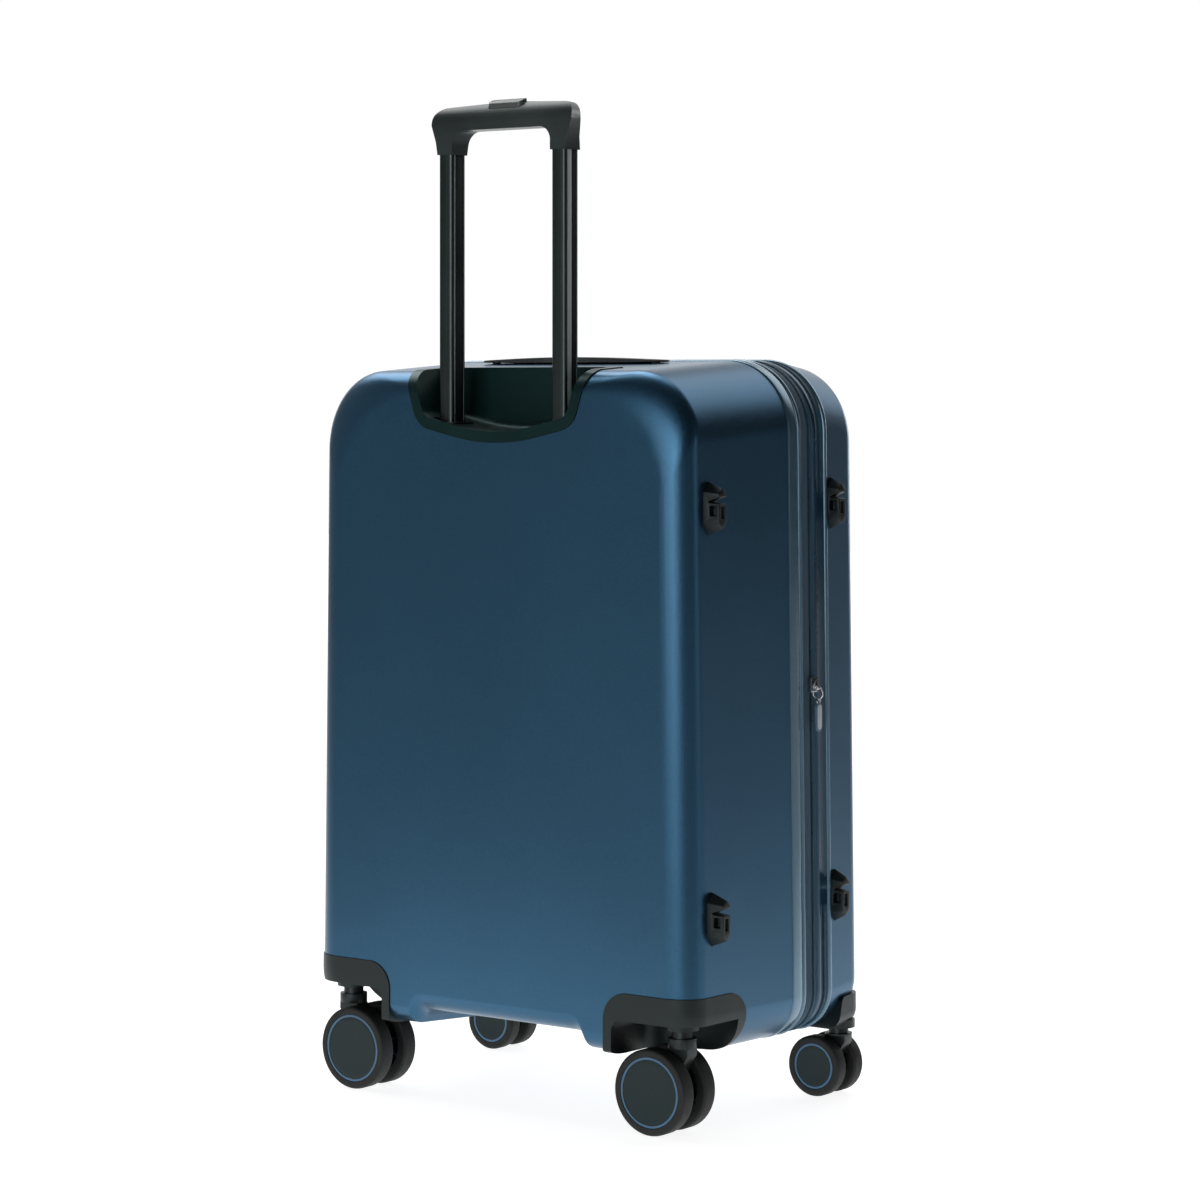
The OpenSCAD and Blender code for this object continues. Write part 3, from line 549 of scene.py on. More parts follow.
HUB = make_black("hub_grey", (0.006, 0.0105, 0.0112), 0.5, 0.25, (0.7, 0.95, 1.0))
TYRE = make_rubber("tyre_black", (0.0125, 0.0135, 0.0130), 0.62)
RING = make_rim("ring_blue", (0.040, 0.115, 0.205), 0.3)
FORK = make_black("fork_black", (0.0105, 0.0115, 0.0118), 0.4, 0.3)


# ---- shapes shared by several pieces ----
def recess_2d(inset):
    """Outline of the recess seen from behind: a wide arc, two corner arcs, flaring shoulders."""
    half = arc_2d(0, RECESS_ARC_Z, RECESS_ARC_R - inset, -90, RECESS_JOIN_DEG, 12)[1:]
    half += arc_2d(*RECESS_CORNER, RECESS_CORNER_R - inset, RECESS_JOIN_DEG, RECESS_FLANK_DEG, 20)
    half += [(RECESS_TOP_X - inset, TOP + 20)]
    bottom = (0, RECESS_ARC_Z - RECESS_ARC_R + inset)
    return [bottom] + half + [(-x, z) for x, z in reversed(half)]


def corner_2d(u0, top, r, flare, sign=1):
    """Region beyond u0 and below top, wider by flare near the ground."""
    foot = [(u0 - flare, -20)] + ([(u0 - flare, top - FLARE_DROP)] if flare else [])
    arc = arc_2d(u0 + r, top - r, r, FLARE_DEG if flare else 180, 90, 10)
    return [(sign * u, z) for u, z in foot + arc + [(FAR, top), (FAR, -20)]]


def corner_block(block, r, s, back=1):
    """The corner at sign s of X that a wheel housing takes, at +Y with back 1, at -Y with -1."""
    flare = 0 if back > 0 else FRONT_FLARE
    a = prism("block", corner_2d(block[0], block[2], r, flare, s), -300, 300, "y")
    b = prism("block2", corner_2d(block[1], block[2], r, flare, back), -FAR, FAR, "x")
    return combine(a, b, "INTERSECT")


def cylinder(name, x, y, z0, z1, r, n):
    return prism(name, circle_2d(x, y, r, n), z0, z1, "z")


def hexagon(half):
    """Tall hexagon: half width, half height of its straight sides, half height of its points."""
    a, b, c = half
    return [(a, -b), (a, b), (0, c), (-a, b), (-a, -b), (0, -c)]


def cut_feet(obj, y, seam, face, draft):
    """Seats for the two hook feet on the closed side."""
    depth = abs(face - seam) - EDGE_DEPTH
    for z in FEET_Z:
        x = draft[0] * abs(y - seam) / depth - side_x(z)
        seat = [(y + u, z + v) for u, v in hexagon(FOOT_HALF)]
        combine(obj, prism("cut", seat, x - 3, x + 6, "x"))


def mirrored(obj, name):
    """Copy of obj on the other side of X."""
    mesh = obj.data.copy()
    twin = bpy.data.objects.new(name, mesh)
    scene.collection.objects.link(twin)
    bm = bmesh.new()
    bm.from_mesh(mesh)
    for v in bm.verts:
        v.co.x = -v.co.x
    bmesh.ops.reverse_faces(bm, faces=bm.faces)
    bm.to_mesh(mesh)
    bm.free()
    return twin


def weighted(obj):
    """Shading normals that follow the large faces."""
    mod = obj.modifiers.new("normals", "WEIGHTED_NORMAL")
    mod.keep_sharp = True
    mod.weight = 80
    return settle(obj)


# ---- back shell ----
shell = cup("back_shell_look", stations(*BACK, 0, scoop=SCOOP_H),
            stations(*BACK, WALL, scoop=SCOOP_H), SHELL)
combine(shell, prism("cut", recess_2d(0), *RECESS_Y, "y"))
for s in (-1, 1):
    combine(shell, corner_block(REAR_BLOCK, REAR_R, s))
cut_feet(shell, BACK_FEET_Y, *BACK)
for u in (-POST_AT, POST_AT):
    combine(shell, cylinder("cut", u, HANDLE_Y, 640, 700, POST_HOLE_R, 32))
    combine(shell, prism("cut", circle_2d(HANDLE_Y, MIDDLE_Z + u, POST_HOLE_R, 32), 200, 240, "x"))
soften(shell, 1.3, 3, 30)
weighted(shell)
stands_for(shell, "case", "back_shell")

# ---- lid shell ----
lid = cup("lid_shell_look", stations(*LID, 0), stations(*LID, WALL), SHELL)
for s in (-1, 1):
    combine(lid, corner_block(FRONT_BLOCK, FRONT_R, s, -1))
cut_feet(lid, LID_FEET_Y, *LID)
combine(lid, prism("cut", rounded_2d(35, 68, 6, 6, LOCK_Y, MIDDLE_Z), 200, 240, "x"))
soften(lid, 1.3, 3, 30)
weighted(lid)
stands_for(lid, "lid", "lid_shell")


# ---- bands that follow the outline ----
def path_2d(d, part):
    """Line d inside the outline: all of it, the run of the main zip or the hinge side."""
    line, n = even_outline(d), ARC + 1
    low, high = HINGE_Z
    if part == "zip":
        return ([(-(side_x(low) - d), low)] + line[2 * n:] + line[:2 * n]
                + [(-(side_x(high) - d), high)])
    if part == "hinge":
        return [(-(side_x(z) - d), z) for z in
                (high + (low - high) * i / 40 for i in range(41))]
    return line


def lengths(line, closed):
    """Distance along the line at each of its points."""
    pts = line + line[:1] if closed else line
    out = [0]
    for a, b in zip(pts, pts[1:]):
        out.append(out[-1] + math.dist(a, b))
    return out


def sweep(name, profile, material, part="all", open_profile=False):
    """Band with the profile [(y, d)] along the outline, d inwards from it."""
    closed = part == "all"
    rings = [path_2d(d, part) for _, d in profile]
    n, m = len(rings[0]), len(profile)
    along, across = lengths(rings[0], closed), lengths(profile, not open_profile)
    pts = [(rings[k][i][0], profile[k][0], rings[k][i][1]) for i in range(n) for k in range(m)]
    faces, uvs = [], []
    for i in range(n if closed else n - 1):
        for k in range(m - 1 if open_profile else m):
            i2, k2 = (i + 1) % n, (k + 1) % m
            faces.append((i * m + k, i * m + k2, i2 * m + k2, i2 * m + k))
            a, b, c, d = along[i], along[i + 1], across[k], across[k + 1]
            uvs.append(((a, c), (a, d), (b, d), (b, c)))
    if not closed and not open_profile:
        for i in (0, n - 1):
            loop = tuple(i * m + k for k in range(m))
            faces.append(loop)
            uvs.append(tuple((along[i], across[k]) for k in range(m)))
    mesh = bpy.data.meshes.new(name)
    mesh.from_pydata(points(pts), [], faces)
    layer = mesh.uv_layers.new(name="along")
    flat = [c * 0.001 for face in uvs for uv in face for c in uv]
    layer.data.foreach_set("uv", flat)
    return place(name, mesh, material, 50)


def arc_profile(y0, y1, base, crown, n=8):
    """Rounded bead between y0 and y1 that stands from depth base out to crown."""
    return [(y0 + (y1 - y0) * (1 - math.cos(math.pi * i / n)) / 2,
             base + (crown - base) * math.sin(math.pi * i / n) ** 0.8) for i in range(n + 1)]


TOOTH_2D = ((0.42, -0.5), (0.42, 0.35), (0.2, 0.75), (-0.2, 0.75), (-0.42, 0.35), (-0.42, -0.5))


def teeth(name, y, side, part, material, pitch=1.45):
    """One row of zip teeth along the outline; side +1 and -1 are staggered by half a pitch."""
    closed = part == "all"
    line = path_2d(0.55, part)
    if closed:
        line = line + line[:1]
    run = lengths(line, False)
    count = int(run[-1] / pitch)
    pts, faces, k = [], [], 0
    for t in range(count):
        s = (t + (0.5 if side > 0 else 0)) * run[-1] / count
        while k < len(run) - 2 and run[k + 1] < s:
            k += 1
        a, b = line[k], line[k + 1]
        step = max(run[k + 1] - run[k], 1e-6)
        f = (s - run[k]) / step
        px, pz = a[0] + (b[0] - a[0]) * f, a[1] + (b[1] - a[1]) * f
        tx, tz = (b[0] - a[0]) / step, (b[1] - a[1]) / step
        nx, nz = tz, -tx
        if nx * px + nz * (pz - MIDDLE_Z) < 0:
            nx, nz = -nx, -nz
        at = len(pts)
        for w, h in TOOTH_2D:
            for v in (-0.55, 1.9):
                e = h if v < 0 else h - 0.25
                pts.append((px + tx * w + nx * e, y + side * v, pz + tz * w + nz * e))
        for j in range(5):
            faces.append((at + 2 * j, at + 2 * j + 1, at + 2 * j + 3, at + 2 * j + 2))
        faces.append(tuple(at + 2 * j for j in range(6)))
        faces.append(tuple(at + 2 * j + 1 for j in reversed(range(6))))
    return add(name, pts, faces, material, 60)


# cross sections of the bands: (y, depth inside the outline)
RIM_2D = ([(-13.4, 0.35)] + arc_profile(-13.6, -27.6, 0.15, -1.0, 12) + [(-28.2, 0.9), (-28.9, 0.9)]
          + arc_profile(-29.2, -33.4, 0.7, -1.15, 10)
          + [(-33.9, 1.5), (-42, 1.6), (-42, 3.6), (-22.0, 3.6), (-22.0, 0.6)])
EXPANDER_BACK_2D = [(-33.6, 1.0), (-40, 0.75), (-45.2, 0.85), (-45.6, 1.3), (-47.3, 1.4), (-47.3, 3.4),
                    (-42.2, 3.5), (-42.2, 1.5), (-33.6, 1.45)]
EXPANDER_FRONT_2D = [(-47.8, 1.4), (-49.5, 1.3), (-49.9, 0.85), (-53.1, 0.7), (-53.1, 3.4), (-47.8, 3.4)]
BAND_2D = [(-53.1, 0.75), (-53.3, 0.45), (-54, 0.1), (-55.6, -0.25), (-57.2, -0.25), (-58.6, 0.1),
           (-59.1, 0.5), (-59.1, 3.6), (-53.1, 3.6)]
MAIN_BACK_2D = [(-59.1, 0.6), (-61.8, 0.8), (-62.4, 1.3), (-64.4, 1.4), (-64.4, 3.4), (-59.1, 3.4)]
MAIN_FRONT_2D = [(-64.9, 1.4), (-66.8, 1.3), (-67.4, 0.8), (-70.2, 0.6), (-70.2, 3.4), (-64.9, 3.4)]
LID_RIM_2D = ([(-70.2, 1.2), (-70.5, 0.6)] + arc_profile(-70.8, -75.2, 0.3, -1.1, 10)
              + [(-75.6, 0.2), (-75.0, 0.6), (-75.0, 3.6), (-70.2, 3.6)])


def zip_half(zip_name, end, profile, y, side, part, body):
    """Tape and teeth of one half of a zip."""
    tape = sweep("%s_tape_%s" % (zip_name, end), profile, TAPE, part)
    stands_for(tape, body, "%s_zip_%s" % (zip_name, end))
    row = teeth("%s_coil_%s" % (zip_name, end), y, side, part, COIL)
    stands_for(row, body, slot="zip_tape_blue")


stands_for(sweep("back_rim_look", RIM_2D, RIM), "case", "back_rim")
zip_half("expander", "back", EXPANDER_BACK_2D, EXPANDER_Y, 1, "all", "case")
zip_half("expander", "front", EXPANDER_FRONT_2D, EXPANDER_Y, -1, "all", "zip_frame")
stands_for(sweep("frame_band_look", BAND_2D, BAND), "zip_frame", "frame_band")
zip_half("main", "back", MAIN_BACK_2D, MAIN_Y, 1, "zip", "zip_frame")
zip_half("main", "front", MAIN_FRONT_2D, MAIN_Y, -1, "zip", "lid")
stands_for(sweep("lid_rim_look", LID_RIM_2D, RIM), "lid", "lid_rim")

HINGE_Y, HINGE_WIDTH, HINGE_STEPS = -59.1, 11.1, 11
hinge_2d = [(HINGE_Y - HINGE_WIDTH * i / HINGE_STEPS, 0.55 + 0.5 * math.sin(math.pi * i / HINGE_STEPS))
            for i in range(HINGE_STEPS + 1)]
hinge_strip = sweep("zip_hinge_look", hinge_2d, BAND, "hinge", True)
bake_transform(hinge_strip)
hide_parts("zip_hinge")

fold = [(-22.8, 5.9), (-25.5, 6.2), (-29, 12), (-32, 17.5), (-34, 12), (-37, 7.2), (-40, 12.5),
        (-43, 17.5), (-45, 12), (-48, 7), (-51.5, 6.2), (-53.8, 5.9)]
gusset = sweep("expansion_gusset_look", fold, GUSSET, "all", True)
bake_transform(gusset)
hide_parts("expansion_gusset")


# ---- wheel housings ----
def rear_housing():
    """Corner of the back shell with a collar for the stem; both hollows let the caster swivel."""
    h = loft("rear_housing_right_look", stations(*BACK, -1, HOUSING_EDGE_IN), BLACK_MAT)
    combine(h, corner_block(REAR_BLOCK, REAR_R, 1), "INTERSECT")
    combine(h, cylinder("cut", *REAR_STEM, -5, 97, SWIVEL_R, 96))
    hollow = prism("cut", rounded_2d(*OPENING, 22, 12, *OPENING_AT), -20, 96.6, "z")
    combine(h, soften(hollow, 9, 5, 40))
    combine(h, cylinder("add", *REAR_STEM, 91, 99, STEM_COLLAR_R, 48), "UNION")
    combine(h, cylinder("cut", *REAR_STEM, 60, 107, STEM_BORE_R, 32))
    return soften(h, 1.6, 4, 32)


def front_housing():
    """Corner of the lid, lower and closed underneath, with a collar for the stem."""
    h = loft("front_housing_right_look", stations(*LID, -1, HOUSING_EDGE_IN, 12), BLACK_MAT)
    combine(h, corner_block(FRONT_BLOCK, FRONT_R, 1, -1), "INTERSECT")
    combine(h, cylinder("add", *FRONT_STEM, 62.7, 70, STEM_COLLAR_R, 48), "UNION")
    combine(h, cylinder("cut", *FRONT_STEM, 50, 78.7, STEM_BORE_R, 32))
    return soften(h, 1.4, 4, 32)


for kind, make, body in (("rear", rear_housing, "case"), ("front", front_housing, "lid")):
    right = make()
    left = mirrored(right, kind + "_housing_left_look")
    for obj, side in ((right, "right"), (left, "left")):
        weighted(obj)
        stands_for(obj, body, "%s_housing_%s" % (kind, side))

# ---- recess for the grip: its hollow widens from the floor through (y, inset of the wall) ----
HOLLOW = ((88, 20), (89, 16), (91, 13), (94, 11.2), (98, 10.2), (102, 10), (170, 10))
recess = loft("trolley_recess_look", stations(*BACK, -1), RECESS_MAT)
combine(recess, prism("cut", recess_2d(0), *RECESS_Y, "y"), "INTERSECT")
combine(recess, loft("cut", [(y, recess_2d(d)) for y, d in HOLLOW]))
for s in (-1, 1):
    combine(recess, prism("cut", rounded_2d(24, 28, 3.5, 6, s * TUBE_X, TUBE_Y), 500, 760, "z"))
soften(recess, 1.8, 4, 30)
weighted(recess)
stands_for(recess, "case", "trolley_recess")


# ---- trolley ----
def tube_2d(w, d, r, low, high, depth):
    """Rounded tube outline with the same channel in both its X sides."""
    right = [(w / 2, low), (w / 2 - depth, low + 0.3), (w / 2 - depth, high - 0.3), (w / 2, high)]
    left = [(-x, y) for x, y in reversed(right)]
    base, n = rounded_2d(w, d, r, 6), 14
    return base[:n] + left + base[n:] + right


def tube(name, s, w, d, z0, z1):
    """The outer side has a light strip, a painted highlight, next to a dark one; the inner side a thin light
    line, a painted highlight too.
    """
    e = d / 2 - 3.1
    wall = [(s * TUBE_X + u, TUBE_Y + v) for u, v in tube_2d(w, d, 3, -e, e, 1.0)]
    t = prism(name, wall, z0, z1, "z", TUBE_MAT)
    combine(t, prism("cut", rounded_2d(w - 3, d - 3, 2, 6, s * TUBE_X, TUBE_Y), z0 - 5, z1 + 5, "z"))
    parts = [t]
    # side of the tube, end of its dark strip, start and end of its light one, which is painted highlight
    for x, dark_end, low, high in ((s, 0.1, 0.5, e - 0.2), (-s, e - 2.1, e - 1.6, e - 0.4)):
        # light: the strip of painted highlight
        dark, light = (0.4 - e, dark_end, 0.55, INSERT_MAT), (low, high, 0.12, TUBE_HIGHLIGHT_MAT)
        for near, far, deep, material in (dark, light):
            a, b = sorted((s * TUBE_X + x * (w / 2 - 1.15), s * TUBE_X + x * (w / 2 - deep)))
            bar = box("strip", (a, TUBE_Y + near, z0), (b, TUBE_Y + far, z1), material)
            parts.append(soften(bar, 0.3, 2, 40))
    return join(name, parts)


def pair(name, w, d, z0, z1):
    """The left and right tubes of one stage."""
    return join(name, [tube(name + str(s), s, w, d, z0, z1) for s in (-1, 1)])


for stage, w, d, z0, z1 in (("upper", 16, 20, 527, GRIP_FOOT), ("middle", 20, 24, 250, 613)):
    node = "trolley_%s_tubes" % stage
    stands_for(pair(node + "_look", w, d, z0, z1), "trolley_" + stage, node)
from_cad("trolley_outer_tubes", TUBE_MAT, "case", 0.4, 2)
from_cad("trolley_collars", BLACK_MAT, "case", 0.7, 3)
from_cad("trolley_base", BLACK_MAT, "case", 1.2, 3)


def grip_side_2d():
    """The grip seen from the side: its top edge at the back is rounded off."""
    half = GRIP_HALF_DEPTH
    turns = [math.radians(6 * i) for i in range(16)]
    arc = [(half - 18 * (1 - math.cos(a)), GRIP_TOP - 20 * (1 - math.sin(a))) for a in turns]
    line = [(-half, 840), (half, 840)] + arc + [(-half, GRIP_TOP - 1)]
    return [(TUBE_Y + y, z) for y, z in line]


def grip():
    """Bar with two legs; higher up it is narrower in front than behind."""
    half = arc_2d(69, 889, 11, 90, 0, 10) + [(80, 884), (75, 869), (73, GRIP_FOOT), (56, GRIP_FOOT)]
    half += arc_2d(44, 866, 12, 0, 90, 10)
    line = [(0, GRIP_TOP)] + half + [(0, 878)] + [(-x, z) for x, z in reversed(half)]
    g = prism("trolley_grip_look", line, TUBE_Y - 20, TUBE_Y + 20, "y", GRIP_MAT)
    combine(g, prism("cut", grip_side_2d(), -120, 120, "x"), "INTERSECT")
    for v in g.data.vertices:
        y, z = v.co.y * 1000, v.co.z * 1000
        rise = min(max((z - GRIP_FOOT) / 28, 0), 1)
        v.co.x *= 1 - GRIP_NARROWING * (TUBE_Y + GRIP_HALF_DEPTH - y) / (2 * GRIP_HALF_DEPTH) * rise
    combine(g, prism("cut", rounded_2d(38.8, 12.8, 4, 6, 0, TUBE_Y), 893, 930, "z"))
    return weighted(soften(g, 2.4, 4, 26))


stands_for(grip(), "trolley_upper", "trolley_grip")
from_cad("grip_button", BUTTON_MAT, "grip_button_body", 0.8, 3, 40)


# ---- handles, feet, lock ----
def top_handle():
    """Low arch with ends rounded in plan, on its two posts."""
    length, width = 2 * HANDLE_HALF, 26
    line = [HANDLE_HALF * (1 - 2 * i / 32) for i in range(33)]
    arch = [(x, TOP + 0.3 + 3 * math.cos(math.pi / length * x)) for x in line]
    arch += [(x, TOP - 2.1 + 0.9 * (x / HANDLE_HALF) ** 4) for x in reversed(line)]
    h = prism("top_handle_look", arch, HANDLE_Y - width / 2, HANDLE_Y + width / 2, "y", HANDLE_MAT)
    plan = rounded_2d(length, width, 12.5, 10, 0, HANDLE_Y)
    combine(h, prism("trim", plan, 600, 700, "z"), "INTERSECT")
    soften(h, 1.2, 3, 30)
    posts = [prism("post", circle_2d(u, HANDLE_Y, r, 32), 639.8, z, "z", HANDLE_MAT)
             for u in (-POST_AT, POST_AT) for r, z in ((4, TOP), (7, 642.8))]
    return join("top_handle_look", [h] + posts)


stands_for(top_handle(), "top_handle_body", "top_handle")
from_cad("side_handle", HANDLE_MAT, "side_handle_body", 1.4, 3)
for node in ("top_handle_mounts", "side_handle_mounts", "back_side_feet"):
    from_cad(node, BLACK_MAT, "case", 0.6, 3, 20)
from_cad("lid_side_feet", BLACK_MAT, "lid", 0.6, 3, 20)
from_cad("lock_housing", BLACK_MAT, "lid", 0.8, 3)
from_cad("lock_button", STEEL, "lock_button_body", 0.5, 3)


def dial(name, z):
    """Number wheel of the lock, with ten shallow grooves."""
    x, y = DIAL_AXIS
    pts = []
    for i in range(60):
        a = 2 * math.pi * i / 60
        r = 7.05 if i % 6 == 0 else 7.5
        pts.append((x + r * math.cos(a), y + r * math.sin(a)))
    d = prism(name, pts, z - 3.5, z + 3.5, "z", DIAL)
    combine(d, cylinder("cut", x, y, z - 9, z + 9, 1.55, 24))
    return soften(d, 0.3, 2, 40)


for i, level in enumerate(("lower", "middle", "upper")):
    stands_for(dial("lock_dial_%s_look" % level, 357 + 8.5 * i), "dial_" + level, "lock_dial_" + level)

# ---- zip sliders ----
from_cad("expander_slider", SILVER, "expander_slider_body", 0.45, 3)
from_cad("main_slider_upper", SILVER, "zip_slider_upper", 0.45, 3)
from_cad("main_slider_lower", SILVER, "zip_slider_lower", 0.45, 3)


def wrapped(n, m):
    """Faces through n rings of m points, closed both ways."""
    return [(i * m + k, i * m + (k + 1) % m, (i + 1) % n * m + (k + 1) % m, (i + 1) % n * m + k)
            for i in range(n) for k in range(m)]


def torus(name, centre, major, minor, axis, material, n=48, m=12):
    pts = []
    for i in range(n):
        a = 2 * math.pi * i / n
        for k in range(m):
            b = 2 * math.pi * k / m
            r, w = major + minor * math.cos(b), minor * math.sin(b)
            u, v = r * math.cos(a), r * math.sin(a)
            p = {"x": (w, u, v), "y": (u, w, v)}[axis]
            pts.append(tuple(c + q for c, q in zip(centre, p)))
    return add(name, pts, wrapped(n, m), material, 60)


# puller: a ring on the pin, a loop, and a tag with a coloured face outward
lo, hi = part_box("expander_puller")
pin_z, tag_z0, tag_h = hi[2] * 1000 - 2.5, lo[2] * 1000, 26
tag_z = tag_z0 + tag_h / 2
PULLER_X = -225
ring = torus("puller_ring", (PULLER_X + 0.7, EXPANDER_Y, pin_z - 4.4), 5.0, 0.7, "y", SILVER)
tag_2d = rounded_2d(9, tag_h, 4.2, 8, EXPANDER_Y, tag_z)
tag = prism("puller_tag", tag_2d, PULLER_X - 1.2, PULLER_X + 1.2, "x", TAG)
soften(tag, 0.8, 3, 40)
face_2d = rounded_2d(6.4, tag_h - 4, 3, 8, EXPANDER_Y, tag_z)
face = prism("puller_face", face_2d, PULLER_X - 1.5, PULLER_X - 1, "x", TAG_FACE)
soften(face, 0.2, 2, 40)
loop = torus("puller_loop", (PULLER_X, EXPANDER_Y, tag_z0 + tag_h + 0.6), 2.3, 0.7, "x", SILVER, 32, 10)
puller = join("expander_puller_look", [tag, face, loop, ring])
stands_for(puller, "expander_puller_body", "expander_puller")


# ---- casters ----
def lathe(name, profile, axle, side, material, n=96):
    """Turns a closed profile [(r, y)] round the axle, with side as the sign of y."""
    cx, cy, cz = axle
    turns = [2 * math.pi * i / n for i in range(n)]
    pts = [(cx + r * math.cos(a), cy + side * y, cz + r * math.sin(a)) for a in turns for r, y in profile]
    return add(name, pts, wrapped(n, len(profile)), material, 38)


def caster(name, cx, cy, radius, half, width, hub_r, body):
    """The two wheels of a caster: hub, cap and ribs, tyre and ring on each side of the fork."""
    cz, y0, y1 = radius, half - width, half
    axle, disc_y = (cx, cy, cz), y1 - 0.8
    hubs, tyres, rings = [], [], []
    for side in (-1, 1):
        hub = [(3.1, y0 + 0.3), (8, y0 + 0.3), (9, y0 + 1), (9.3, disc_y - 3.2), (hub_r - 2.2, disc_y - 3.2),
               (hub_r - 1.8, y0 + 0.6), (hub_r, y0 + 0.3), (hub_r, disc_y - 0.3)]
        hub += quarter(hub_r - 0.9, disc_y - 0.5, 0.5, 0, 3)[1:]
        hub += [(hub_r * 0.8, disc_y - 0.25), (hub_r * 0.4, disc_y - 0.55), (3.1, disc_y - 0.6)]
        hubs.append(lathe("hub", hub, axle, side, HUB))
        cap = [(0.01, disc_y - 0.6), (0.01, disc_y - 2.4), (3.1, disc_y - 2.4), (3.1, disc_y - 0.6)]
        hubs.append(lathe("cap", cap, axle, side, HUB, 48))
        for i in range(10):
            a = 2 * math.pi * (i + 0.5) / 10
            ca, sa = math.cos(a), math.sin(a)
            rib = []
            for r in (8.6, hub_r - 1.9):
                for w in (-0.8, 0.8):
                    for y in (y0 + 1.6, disc_y - 3.0):
                        rib.append((cx + r * ca - w * sa, cy + side * y, cz + r * sa + w * ca))
            hubs.append(add("rib", rib, [(0, 1, 3, 2), (4, 6, 7, 5), (0, 4, 5, 1), (2, 3, 7, 6), (0, 2, 6, 4),
                                         (1, 5, 7, 3)], HUB))
        e = 2.6
        tyre = [(hub_r, y0 + 0.5), (hub_r + 0.6, y0)]
        tyre += quarter(radius - e, y0 + e, e, -90, 5)
        tyre += quarter(radius - e, y1 - e, e, 0, 5)
        tyre += [(hub_r + 1.6, y1 - 0.1), (hub_r + 1.3, y1 - 0.5), (hub_r + 1.2, y1 - 1.2), (hub_r, y1 - 1.4)]
        tyres.append(lathe("tyre", tyre, axle, side, TYRE, 128))
        band = [(hub_r - 1.2, y1 - 1.5), (hub_r + 1.25, y1 - 1.5), (hub_r + 1.2, y1 - 0.75),
                (hub_r + 0.9, y1 - 0.45), (hub_r - 0.9, y1 - 0.45), (hub_r - 1.15, y1 - 0.75)]
        rings.append(lathe("ring", band, axle, side, RING, 128))
    stands_for(join(name + "_hubs_look", hubs), body, name + "_hubs")
    stands_for(join(name + "_tyres_look", tyres), body, name + "_tyres")
    stands_for(join(name + "_rings", rings), body, slot="ring_blue")


for side, s in (("left", -1), ("right", 1)):
    for end, (x, *rest) in (("rear", REAR_WHEEL), ("front", FRONT_WHEEL)):
        name = "%s_%s" % (end, side)
        caster(name, s * x, *rest, name + "_wheel")
    for end in ("rear", "front"):
        name = "%s_%s" % (end, side)
        from_cad(name + "_fork", FORK, name + "_caster", 0.9, 3, 35)
        from_cad(name + "_axle", STEEL, name + "_caster", 0.4, 2)

# ---- inside ----
def lining(name, seam, face, draft, inset, cutters):
    """Thin cup inside a half, less what stands through it."""
    obj = cup(name, stations(seam, face, draft, inset), stations(seam, face, draft, inset + 1.2), LINING)
    for c in cutters:
        combine(obj, c)
    return weighted(settle(obj, 40))


def around(block):
    """A housing's block with 1 mm of room."""
    return block[0] - 1, block[1] - 1, block[2] + 1


ROOM = 14  # beside the middle of a handle's mount
near, far = HANDLE_Y - ROOM, HANDLE_Y + ROOM
cutters = [corner_block(around(REAR_BLOCK), REAR_R, s) for s in (-1, 1)]
for u in (-POST_AT, POST_AT):
    cutters.append(box("cut", (u - ROOM, near, 632), (u + ROOM, far, 692)))
    z = MIDDLE_Z + u
    cutters.append(box("cut", (178, near, z - ROOM), (238, far, z + ROOM)))
stands_for(lining("back_lining_look", -19, 85, (5, 8, 10), 5, cutters), "case", "back_lining")
cutters = [corner_block(around(FRONT_BLOCK), FRONT_R, s, -1) for s in (-1, 1)]
cutters.append(prism("cut", rounded_2d(39, 72, 6, 6, LOCK_Y, MIDDLE_Z), 174, 240, "x"))
stands_for(lining("lid_lining_look", -76.5, -134.5, LID_DRAFT, 5, cutters), "lid", "lid_lining")

# straps: the lining's floor, its half width and height, half the width of a strap
FLOOR_Y, FLOOR_HALF, STRAP_HALF = 78.8, (148, 232), 19


def strap(name, lean):
    """Webbing with a slight crown across the floor of the lining, lean degrees off upright."""
    a = math.radians(lean)
    half, n = STRAP_HALF, 60
    reach = min(FLOOR_HALF[0] / abs(math.sin(a)), FLOOR_HALF[1] / math.cos(a)) - 10
    pts = []
    for i in range(n + 1):
        t = -reach + 2 * reach * i / n
        for k in range(7):
            w = -half + 2 * half * k / 6
            y = FLOOR_Y - 0.6 - 0.5 * math.cos(math.pi * w / 2 / half) ** 0.3
            pts.append((t * math.sin(a) + w * math.cos(a), y,
                        MIDDLE_Z + t * math.cos(a) - w * math.sin(a)))
    obj = add(name, pts, grid(n + 1, 7), STRAP)
    mod = obj.modifiers.new("thick", "SOLIDIFY")
    mod.thickness, mod.offset = 0.0011, 0
    return settle(obj, 50)


straps = join("packing_straps_look", [strap("strap_a", 33), strap("strap_b", -33)])
stands_for(straps, "case", "packing_straps")
from_cad("strap_buckle", BLACK_MAT, "case", 1.4, 4)

# mesh pocket: rounded lower corners, gathers that grow towards its hem
lo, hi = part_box("lid_pocket")
x1, z0, z1, y_low = hi[0] * 1000, lo[2] * 1000, hi[2] * 1000, lo[1] * 1000
cols, rows, pocket_r = 48, 40, 26
pts = []
for i in range(cols + 1):
    for k in range(rows + 1):
        u, v = i / cols, k / rows
        gather = math.sin(u * math.pi * 22) * 0.5 * v ** 2
        bulge = math.sin(math.pi * u) ** 0.5 * math.sin(math.pi * (0.15 + 0.8 * v)) * 3.5
        x = -x1 + 2 * x1 * u
        past = max(abs(x) - x1 + pocket_r, 0)
        low = z0 + (pocket_r - math.sqrt(max(pocket_r * pocket_r - past ** 2, 0)))
        pts.append((x, y_low + 0.4 + max(bulge + gather, 0), low + (z1 - low) * v))
pocket = add("lid_pocket_look", pts, grid(cols + 1, rows + 1), MESH)
stands_for(pocket, "lid", "lid_pocket")
